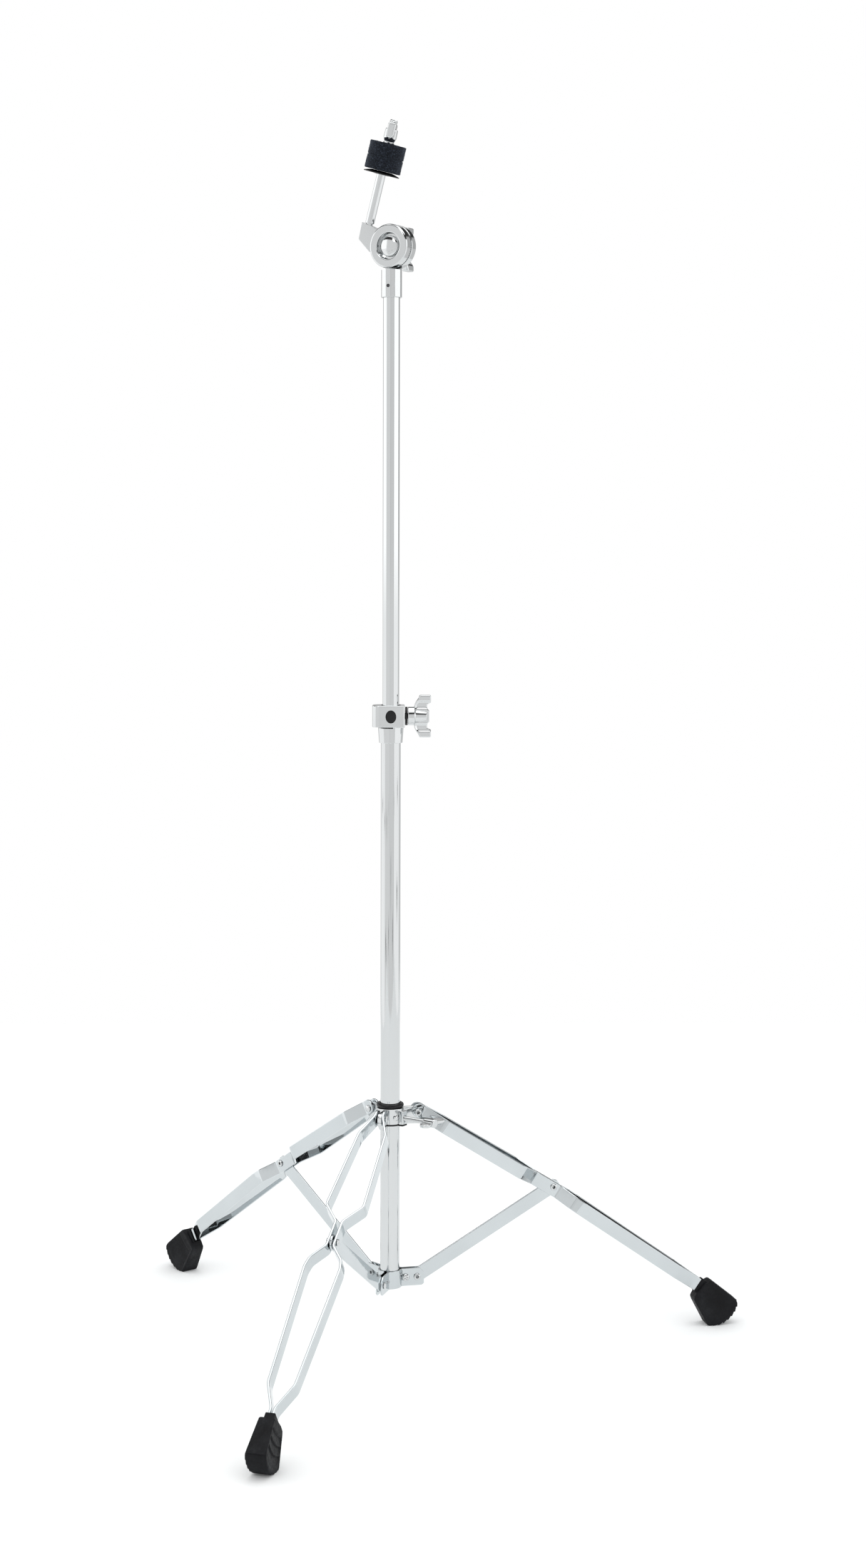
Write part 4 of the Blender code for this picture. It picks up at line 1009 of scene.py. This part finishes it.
def make_collar():
    # The body starts 2.5 mm up; the bushing's black band, a painted shade, fills the space below it.
    body_low = COLLAR_LOW + 2.5
    body = turned(soft_outline([
        (COLLAR_BORE_RADIUS, body_low), (COLLAR_BODY_RADIUS, body_low),
        (COLLAR_BODY_RADIUS, COLLAR_HIGH), (COLLAR_BORE_RADIUS, COLLAR_HIGH),
    ], 0.5), 128)
    joins = []
    cuts = []
    reach = FLANGE_END_RADIUS - 0.4
    inside = COLLAR_BORE_RADIUS + 1
    for number in (1, 2, 3):
        turn = spin_z(LEG_AZIMUTHS[number - 1])
        outline = [
            (inside, COLLAR_LOW + 0.2), (PIVOT_RADIUS, COLLAR_LOW + 0.2), (reach, COLLAR_PIVOT_Z - 4),
            (reach, COLLAR_PIVOT_Z + 2.5), (reach - 3, COLLAR_HIGH - 0.2), (inside, COLLAR_HIGH - 0.2),
        ]
        lug = slab(soft_outline(outline, 1.8), -COLLAR_LUG_HALF, COLLAR_LUG_HALF, 0.6, 3)
        joins.append(moved(lug, turn @ TOWARDS_ARM))
        hole = plug(RIVET_HOLE_RADIUS, -9, 9, 32)
        cuts.append(moved(hole, turn @ at(PIVOT_RADIUS, 0, COLLAR_PIVOT_Z) @ ALONG_Y))
    stud_frame = spin_z(COLLAR_STUD_AZIMUTH) @ at(0, 0, COLLAR_SCREW_Z + 1) @ ALONG_X
    cuts.append(moved(plug(1.6, 8, 20, 24), stud_frame))
    screw_turn = spin_z(COLLAR_SCREW_AZIMUTH)
    boss = [(inside, -4.6), (COLLAR_BOSS_RADIUS, -4.0), (COLLAR_BOSS_RADIUS, 4.0), (inside, 4.6)]
    boss = soft_outline(boss, 1.4)
    joins.append(moved(slab(boss, body_low, COLLAR_SCREW_Z + 7.5, 0.6, 3), screw_turn))
    hole = plug(2.9, 8, 30, 32)
    cuts.append(moved(hole, screw_turn @ at(0, 0, COLLAR_SCREW_Z) @ ALONG_X))
    piece("collar_body", cut(union(body, *joins), *cuts), CAST_CHROME, STAND, 30)

    clear = LOWER_TUBE_RADIUS + 0.3
    liner = COLLAR_BORE_RADIUS - GAP
    rim_low, rim_high, rim = COLLAR_HIGH + GAP, COLLAR_HIGH + GAP + 4.3, 13.3
    middle = (rim_low + rim_high) / 2
    half = (rim_high - rim_low) / 2
    round_edge = arc((rim - half, middle), half, -90, 90, 12)
    # The bushing itself is a real plastic part. Its lip out to the body's radius under the collar body, and the
    # tongue under the boss, are painted shade: a black band that stands in for the shadow and dark reflection
    # along the collar's lower edge.
    lip = COLLAR_BODY_RADIUS - 0.1
    bushing = turned([(clear, COLLAR_LOW + 1), (lip - 0.3, COLLAR_LOW + 1), (lip, COLLAR_LOW + 1.3),
                      (lip, body_low - GAP), (liner, body_low - GAP), (liner, rim_low)] + round_edge
                     + [(clear + 0.8, rim_high), (clear, rim_high - 0.8)], 96)
    painted_shade_tongue = moved(slab(boss, COLLAR_LOW + 1.05, body_low - GAP - 0.05, 0.2, 2), screw_turn)
    piece("collar_bushing", union(bushing, painted_shade_tongue), BLACK, STAND, 40)

    for number in (1, 2, 3):
        pin = leg_frame(number, PIVOT_RADIUS, COLLAR_PIVOT_Z) @ ALONG_Y
        shape = rivet(TOP_HALF_GAP + STRIP_THICKNESS / 2, 1 if number == 2 else -1)
        if number == 2:
            shape = moved(shape, Matrix.Rotation(math.pi, 4, "X"))
        piece(f"leg_rivet_{number}", shape, CAST_CHROME, pin, 50)

    head = COLLAR_BODY_RADIUS + 0.25
    stud = turned([(0, liner + GAP), (1.3, liner + GAP), (1.3, head), (2.6, head), (2.75, head + 0.3),
                   (2.2, head + 0.8), (1.2, head + 1.15), (0, head + 1.2)], 40)
    piece("collar_stud", stud, CAST_CHROME, STAND @ stud_frame, 50)
    collar_screw(liner)


def collar_screw(liner):
    """The small wing screw: a threaded shaft with a flat blade that has two rounded ears."""
    wing_start = 41.0 - COLLAR_BOSS_RADIUS
    shank = threaded(2.5, 0.35, 0.8, liner + GAP - COLLAR_BOSS_RADIUS, wing_start + 0.5, 32)
    hub = rod_shape(4.4, wing_start, wing_start + 12.0, 48, 0.9)
    half = [(0.5, 1.0), (4.5, 1.0), (12.0, 2.2), (16.0, 4.6), (17.0, 8.0), (16.0, 11.6), (12.5, 13.8),
            (8.0, 12.6), (4.0, 11.0), (0.5, 11.0)]
    outline = [(x, z + wing_start) for x, z in half] + [(-x, z + wing_start) for x, z in reversed(half)]
    blade = slab(soft_outline(outline, 2.0, 4), -1.7, 1.7, 1.0, 3)
    blade = moved(blade, Matrix.Rotation(math.pi / 2, 4, "X"))
    shape = joined(union(hub, blade), shank)
    place = STAND @ spin_z(COLLAR_SCREW_AZIMUTH) @ at(COLLAR_BOSS_RADIUS, 0, COLLAR_SCREW_Z) @ ALONG_X
    piece("collar_wing_screw", shape, CAST_CHROME, place @ spin_z(math.pi / 2), 40)


# ---------------------------------------------------------------- tilter

def outer_rim(radius, low, high, low_edge, high_edge):
    """The outer edge of a disc, with a rounded corner at each side."""
    lower = arc((radius - low_edge, low + low_edge), low_edge, -90, 0, 5)
    return lower + arc((radius - high_edge, high - high_edge), high_edge, 0, 90, 6)


def toothed(radius, height, tooth):
    """A profile point that rises and falls once per tooth."""
    return lambda angle: (radius, height + (tooth if int(angle / TURN * 2 * TOOTH_COUNT) % 2 else 0.0))


def make_tilter():
    facing = TILTER @ TOWARDS_ARM
    steps = 2 * TOOTH_COUNT
    tooth_in, tooth_out = 12.5, 19.0
    bore = BOLT_RADIUS + 0.5

    back_rim = outer_rim(DISC_RADIUS, BASE_BACK, BASE_FRONT, 1.6, 0.8)
    back = turned([(bore, BASE_BACK), (DISC_RADIUS - 3, BASE_BACK)] + back_rim + [
        (tooth_out + 0.1, BASE_FRONT - 0.1), toothed(tooth_out, BASE_FRONT, TOOTH_HEIGHT),
        toothed(tooth_in, BASE_FRONT, TOOTH_HEIGHT), (tooth_in - 0.1, BASE_FRONT - 0.1),
        (7.6, BASE_FRONT - 0.1), (7.6, BASE_FRONT - 4.5), (bore, BASE_FRONT - 4.5),
    ], steps)
    moved(back, facing)
    origin = TILTER.translation
    socket_top = origin.z - 12
    socket = turned(soft_outline([
        (0, SOCKET_BOTTOM), (SOCKET_RADIUS, SOCKET_BOTTOM), (SOCKET_RADIUS, socket_top), (0, socket_top),
    ], 0.6), 96)
    socket = moved(socket, STAND)
    shelf = UPPER_TUBE_TOP + GAP
    front = 0.35 - BASE_FRONT
    cutter = wedge([(-40, -40), (40, -40), (40, front), (-40, front)], shelf + 6.5, origin.z)
    cutter = moved(cutter, at(0, 0, -origin.z))
    bore_cut = moved(plug(UPPER_TUBE_RADIUS + 0.3, SOCKET_BOTTOM - 5, shelf, 96), STAND)
    pin_hole = moved(plug(1.6, -12, 12, 32), STAND @ at(0, 0, SOCKET_PIN_Z) @ PIN_DIRECTION)
    socket = cut(socket, moved(cutter, TILTER), bore_cut, pin_hole)
    piece("tilter_base", union(back, socket), CAST_CHROME, None, 35)

    pin = rod_shape(1.3, -9.3, 9.3, 32, 0.2)
    piece("socket_pin", pin, DARK_STEEL, STAND @ at(0, 0, SOCKET_PIN_Z) @ PIN_DIRECTION)

    tilter_arm(facing, steps, tooth_in, tooth_out, bore)

    bolt = turned([
        (0, BOLT_END), (BOLT_RADIUS - 0.6, BOLT_END), (BOLT_RADIUS, BOLT_END + 0.6),
        (BOLT_RADIUS, RECESS_FLOOR + GAP), (9.2, RECESS_FLOOR + GAP), (9.7, 3.0), (9.7, 4.3), (9.3, 5.0),
        (8.2, 5.6), (6.8, 6.05), (5.0, 6.4), (2.6, 6.7), (0, 6.8),
    ], 96)
    piece("tilter_bolt", bolt, CAST_CHROME, facing, 50)
    piece("tilter_spring", spring(), DARK_STEEL, facing, 50)
    washer = ring_shape(bore - 0.1, 8.0, BASE_BACK - GAP - 1.2, BASE_BACK - GAP, 64, 0.3)
    piece("tilter_washer", washer, CAST_CHROME, facing)
    nut_start = BASE_BACK - 2 * GAP - 1.2
    nut = mast_wing_body(BOLT_RADIUS + 0.4)
    piece("tilter_wing_nut", nut, CAST_CHROME,
          TILTER @ at(0, -nut_start, 0) @ ALONG_Y @ spin_z(math.pi / 2), 40)


def tilter_arm(facing, steps, tooth_in, tooth_out, bore):
    """The front disc with its round recess, and the block beside it that holds the cymbal's rod."""
    rim = outer_rim(DISC_RADIUS, ARM_BACK, ARM_FACE, 0.8, 1.9)
    lip = [(RECESS_RADIUS + 1.1, ARM_FACE), (RECESS_RADIUS + 0.5, ARM_FACE - 0.15),
           (RECESS_RADIUS + 0.1, ARM_FACE - 0.6), (RECESS_RADIUS, ARM_FACE - 1.2)]
    front = turned([
        (bore, ARM_BACK + 0.1), (tooth_in - 0.1, ARM_BACK + 0.1),
        toothed(tooth_in, ARM_BACK, -TOOTH_HEIGHT), toothed(tooth_out, ARM_BACK, -TOOTH_HEIGHT),
        (tooth_out + 0.1, ARM_BACK + 0.1),
    ] + rim + lip + [
        (RECESS_RADIUS, RECESS_FLOOR + 0.8), (RECESS_RADIUS - 0.8, RECESS_FLOOR), (bore, RECESS_FLOOR),
    ], steps)
    outline = [(-28.8, 24.0), (-12.8, 16.4), (-8.8, 13.4), (-14.0, 7.4), (-16.0, -2.0), (-20.3, -5.0),
               (-32.8, 8.2)]
    holder = slab(soft_outline(outline, 1.3), ARM_BACK - 0.6, ARM_FACE - 0.5, 0.5, 3)
    rod = (TILTER @ TOWARDS_ARM).inverted() @ ROD
    hole = moved(plug(3.3, 4.5, 30, 48), rod)
    pocket_turn = spin_z(math.radians(226))
    pocket = [(9.6, -2.4), (12.0, -3.4), (12.3, 0.0), (12.0, 3.4), (9.6, 2.4)]
    pocket = moved(wedge(pocket, RECESS_FLOOR - 2.2, RECESS_FLOOR + 1), pocket_turn)
    dot = moved(plug(0.65, RECESS_FLOOR - 2, RECESS_FLOOR + 2, 20), at(-11.1, 0.9, 0))
    body = cut(union(front, holder), hole, pocket, dot)
    piece("tilter_arm", body, CAST_CHROME, facing, 35)


def spring():
    """The coil that pushes the toothed faces apart, wound around the bolt."""
    radius, wire, turns, per_turn, around = 6.0, 0.55, 2.5, 32, 10
    low = BASE_FRONT - 4.5 + wire + GAP
    high = ARM_BACK - wire - GAP
    count = int(turns * per_turn)
    rings = []
    for step in range(count + 1):
        angle = TURN * step / per_turn
        height = low + (high - low) * step / count
        ring = []
        for corner in range(around):
            tilt = TURN * corner / around
            reach = radius + wire * math.cos(tilt)
            ring.append((reach * math.cos(angle), reach * math.sin(angle), height + wire * math.sin(tilt)))
        rings.append(ring)
    return tube_of_rings(rings)


# ---------------------------------------------------------------- cymbal rod

def make_cymbal_rod():
    rod_low, rod_tip, shoulder, thread_start = 5.0, 111.5, 15.3, 88.5
    shaft = turned([
        (0, rod_low), (2.7, rod_low), (3.0, rod_low + 0.3), (3.0, shoulder), (ROD_RADIUS - 0.3, shoulder),
        (ROD_RADIUS, shoulder + 0.3), (ROD_RADIUS, thread_start - 0.5),
        (ROD_THREAD_RADIUS - 0.4, thread_start), (0, thread_start),
    ], 64)
    thread = threaded(ROD_THREAD_RADIUS, 0.45, 1.25, thread_start - 0.4, rod_tip, 48)
    piece("cymbal_rod", union(shaft, thread), CAST_CHROME, ROD, 40)

    clear = ROD_RADIUS + 0.3
    seat = turned([(radius, SEAT_TOP - below) for radius, below in (
        (clear, 3.2), (6.4, 3.2), (7.2, 3.0), (SEAT_RADIUS - 0.6, 2.9), (SEAT_RADIUS - 0.15, 2.75),
        (SEAT_RADIUS, 2.4), (SEAT_RADIUS - 0.1, 2.1), (SEAT_RADIUS - 0.5, 1.9), (13.5, 0.9),
        (11.0, 0.25), (9.0, 0), (clear, 0),
    )], 96)
    piece("cymbal_seat", seat, BLACK, ROD, 50)

    sleeve = ring_shape(clear, FELT_BORE_RADIUS - 0.35, SEAT_TOP + GAP, thread_start - 0.6, 64, 0.2)
    piece("cymbal_sleeve", sleeve, BLACK, ROD)

    start = SEAT_TOP + GAP
    felt_washer("lower_felt", start, 11)
    felt_washer("upper_felt", start + FELT_THICKNESS + GAP, 23)

    hub = turned([(0, 0), (5.3, 0), (5.5, 0.2), (5.3, 0.5), (4.8, 0.9), (4.7, 1.4), (4.9, 2.2), (5.9, 4.4),
                  (6.1, 5.2), (5.9, 12.4), (5.5, 13.1), (4.9, 13.3), (0, 13.3)], 64)
    body = union(hub, cymbal_wing(1), cymbal_wing(-1))
    body = cut(body, plug(ROD_THREAD_RADIUS + 0.3, -1, 25, 48))
    away = Vector((0, 1, 0)) @ ROD.to_3x3()
    piece("cymbal_wing_nut", body, CAST_CHROME,
          ROD @ at(0, 0, CYMBAL_NUT_START) @ spin_z(math.atan2(away.y, away.x)), 40)


def cymbal_wing(side):
    """A wing of the small nut, widening towards a rounded tip."""
    span, tall, thick = 16.0, 12.0, 7.6

    def place(u, v, w):
        u, v, w = rounded_in_box((u, v, w), (span, tall, thick), 1.6)
        distance = 3.2 + span * u
        under = 3.4 + 1.2 * smooth_step(0.3, 1.0, u)
        top = 12.2 + 6.4 * smooth_step(0.15, 0.95, u)
        half = 3.8 - 0.9 * smooth_step(0.1, 0.35, u) * (1 - smooth_step(0.6, 0.9, u))
        half *= 0.42 + 0.58 * smooth_step(-0.12, 0.30, v)
        return (side * distance, (w * 2 - 1) * half, under + (top - under) * v)

    return block((22, 12, 10), place)


def felt_washer(node, start, seed):
    """A pressed felt ring: uneven faces, crushed edges and loose fibres standing off its skin."""
    around, up = 132, 12
    end = start + FELT_THICKNESS + 0.18
    start -= 0.18
    corner = 1.3
    profile = [(FELT_BORE_RADIUS, start), (9.0, start), (13.0, start), (FELT_RADIUS - corner, start)]
    profile += arc((FELT_RADIUS - corner, start + corner), corner, -60, 0, 2)
    for step in range(1, up):
        profile.append((FELT_RADIUS, start + corner + (FELT_THICKNESS - 2 * corner) * step / up))
    profile += arc((FELT_RADIUS - corner, end - corner), corner, 0, 60, 2)
    profile += [(FELT_RADIUS - corner, end), (13.0, end), (9.0, end), (FELT_BORE_RADIUS, end)]

    def rough(station):
        radius, height = station

        def place(angle):
            spot = Vector((radius * math.cos(angle), radius * math.sin(angle), height + 100 * seed))
            coarse = noise.noise(spot * 0.16)
            fine = noise.noise(spot * 0.9)
            if radius <= FELT_BORE_RADIUS:
                return (radius, height)
            sink = 0.12 * fine
            flat = smooth_step(start, start + 0.2, height) * (1 - smooth_step(end - 0.2, end, height))
            inwards = (0.35 + 0.35 * coarse + sink + 0.12) * smooth_step(13.0, FELT_RADIUS, radius)
            settle = 0.25 * abs(coarse) * (1 - flat) * (1 if height < (start + end) / 2 else -1)
            return (radius - inwards, height + settle)

        return place

    body = turned([rough(station) for station in profile], around)
    made = piece(node, joined(body, fibres(start, end, seed)), FELT, ROD, 180, False)


def fibres(start, end, seed):
    """Short curled hairs around a felt ring, each a thin three-sided spike."""
    draw = random.Random(seed)
    points = []
    faces = []
    for _ in range(FELT_FIBRES):
        angle = draw.uniform(0, TURN)
        height = draw.uniform(start + 0.3, end - 0.3)
        outwards = Vector((math.cos(angle), math.sin(angle), 0))
        sideways = Vector((-math.sin(angle), math.cos(angle), 0))
        lean = draw.uniform(-1.3, 1.3)
        rise = draw.uniform(-1.0, 1.0)
        length = draw.uniform(0.5, 1.25)
        root = outwards * (FELT_RADIUS - 0.9) + Vector((0, 0, height))
        middle = root + outwards * 0.55 * length + sideways * 0.3 * lean * length
        tip = root + outwards * 0.85 * length + sideways * lean * length + Vector((0, 0, rise * length))
        base = len(points)
        for centre, size in ((root, 0.09), (middle, 0.07)):
            for corner in range(3):
                turn = TURN * corner / 3
                offset = sideways * math.cos(turn) + Vector((0, 0, 1)) * math.sin(turn)
                points.append(centre + offset * size)
        points.append(tip)
        faces.append([base, base + 2, base + 1])
        for corner in range(3):
            beside = (corner + 1) % 3
            faces.append([base + corner, base + beside, base + 3 + beside, base + 3 + corner])
            faces.append([base + 3 + corner, base + 3 + beside, base + 6])
    return solid(points, faces)


# ---------------------------------------------------------------- hidden CAD nodes that stay

def finish_kept_nodes():
    node = frame["nodes"]["tube_glide"]
    node.data.materials.clear()
    node.data.materials.append(BLACK)


# ---------------------------------------------------------------- studio

def make_floor():
    half = FLOOR_HALF_SIZE
    corners = [(-half, -half, 0), (half, -half, 0), (half, half, 0), (-half, half, 0)]
    floor = as_object("floor", solid(corners, [[0, 1, 2, 3]]))
    made, tree, shader, place = surface("floor", 0.0, 0.2)
    tones = [(0.3, (0.86, 0.875, 0.88)), (0.7, (0.88, 0.89, 0.89))]
    tone = ramp(tree, noise_value(tree, place, 0.8, 3.0), tones)
    tree.links.new(tone, shader.inputs["Base Color"])
    shader.inputs["Roughness"].default_value = 0.8
    floor.data.materials.append(made)


def math_of(tree, operation, first, second=0.0):
    """A Math node on sockets or plain numbers."""
    made = node_of(tree, "ShaderNodeMath", operation=operation)
    for socket, value in zip(made.inputs, (first, second)):
        if isinstance(value, (int, float)):
            socket.default_value = value
        else:
            tree.links.new(value, socket)
    return made.outputs["Value"]


def window(tree, value, low, high, soft):
    """1 between low and high, 0 outside, with soft edges."""
    rise = math_of(tree, "MULTIPLY", math_of(tree, "SUBTRACT", value, low), 1 / soft)
    fall = math_of(tree, "MULTIPLY", math_of(tree, "SUBTRACT", high, value), 1 / soft)
    lowest = math_of(tree, "MINIMUM", rise, fall)
    return math_of(tree, "MINIMUM", math_of(tree, "MAXIMUM", lowest, 0.0), 1.0)


def blend(tree, factor, first, second):
    made = node_of(tree, "ShaderNodeMix", data_type="RGBA")
    for name, value in (("Factor", factor), ("A", first), ("B", second)):
        if isinstance(value, float):
            same = value if name == "Factor" else (value, value, value, 1.0)
            made.inputs[name].default_value = same
        else:
            tree.links.new(value, made.inputs[name])
    return made.outputs["Result"]


def make_world():
    """A white studio for the plating to reflect: bright flats around the stand, a dark gap above the
    viewer, a white ceiling, and a few dark things standing on the far floor. The camera and matt
    surfaces see plain white."""
    world = bpy.data.worlds.new("studio")
    bpy.context.scene.world = world
    world.use_nodes = True
    tree = world.node_tree
    background = tree.nodes["Background"]
    background.inputs["Strength"].default_value = WORLD_STRENGTH
    direction = node_of(tree, "ShaderNodeTexCoord").outputs["Generated"]
    split = node_of(tree, "ShaderNodeSeparateXYZ")
    tree.links.new(direction, split.inputs["Vector"])
    rise = split.outputs["Z"]
    forwards = math_of(tree, "MULTIPLY", split.outputs["Y"], -1.0)
    radians = math_of(tree, "ARCTAN2", split.outputs["X"], forwards)
    azimuth = math_of(tree, "MULTIPLY", radians, 180 / math.pi)
    stops = []
    for first, last, grey in FLATS:
        for edge in (first + 1.5, last - 1.5):
            stops.append(((edge + 180) / 360, (grey, grey, grey)))
    flats = ramp(tree, math_of(tree, "ADD", math_of(tree, "DIVIDE", azimuth, 360.0), 0.5), stops)

    far = blend(tree, 0.5, flats, FAR_FLOOR)
    below = blend(tree, window(tree, rise, -2.0, 0.0, 0.03), flats, far)
    for centre, half_width, top, bottom in FAR_SHAPES:
        above_bottom = math_of(tree, "SUBTRACT", rise, bottom)
        share = math_of(tree, "MULTIPLY", above_bottom, half_width / (top - bottom))
        sideways = math_of(tree, "ABSOLUTE", math_of(tree, "SUBTRACT", azimuth, float(centre)))
        spare = math_of(tree, "SUBTRACT", share, sideways)
        shape = math_of(tree, "MULTIPLY", window(tree, spare, 0.0, 99.0, 1.5),
                        window(tree, rise, bottom, top, 0.003))
        below = blend(tree, shape, below, 0.02)

    with_gap = blend(tree, window(tree, rise, 0.42, 0.76, 0.05), below, DARK_GAP)
    above = blend(tree, window(tree, rise, 0.80, 2.0, 0.06), with_gap, 0.98)

    path = node_of(tree, "ShaderNodeLightPath")
    matt = blend(tree, path.outputs["Is Diffuse Ray"], above, MATT_WHITE)
    seen = blend(tree, path.outputs["Is Camera Ray"], matt, 1.0 / WORLD_STRENGTH)
    tree.links.new(seen, background.inputs["Color"])


def make_light(name, place, aim, size, power):
    light = bpy.data.lights.new(name, "AREA")
    light.shape = "RECTANGLE"
    light.size, light.size_y = size
    light.energy = power
    lamp = bpy.data.objects.new(name, light)
    bpy.context.scene.collection.objects.link(lamp)
    lamp.location = place
    lamp.rotation_euler = (Vector(aim) - Vector(place)).to_track_quat("-Z", "Y").to_euler()


def make_camera():
    """The product view: almost level, from the front, a little above the clamp."""
    distance, height = 2.2469, 0.77935
    pitch, yaw, roll = 0.1002, 0.018, 0.0036
    camera = bpy.data.cameras.new("camera")
    camera.sensor_width = 36.0
    camera.lens = 54.191716
    camera.clip_start = 0.05
    viewer = bpy.data.objects.new("camera", camera)
    bpy.context.scene.collection.objects.link(viewer)
    forward = Vector((math.sin(yaw) * math.cos(pitch), math.cos(yaw) * math.cos(pitch), -math.sin(pitch)))
    right = Vector((math.cos(yaw), -math.sin(yaw), 0))
    up = right.cross(forward)
    right, up = (right * math.cos(roll) + up * math.sin(roll), up * math.cos(roll) - right * math.sin(roll))
    axes = Matrix((right, up, -forward)).transposed().to_4x4()
    stand = STAND.translation * MM
    viewer.matrix_world = Matrix.Translation((stand.x, stand.y - distance, height)) @ axes
    bpy.context.scene.camera = viewer


make_tubes()
make_clamp()
make_legs()
make_hub()
make_collar()
make_tilter()
make_cymbal_rod()
finish_kept_nodes()
make_floor()
make_world()
make_light("top_softbox", (0.3, 0.2, 2.9), (0, 0, 0.3), (2.2, 2.2), 9.0)
make_light("key_softbox", (-1.4, -2.0, 2.6), (0, 0, 0.5), (0.9, 0.9), 7.0)
make_camera()
bpy.context.scene.view_settings.view_transform = "Standard"
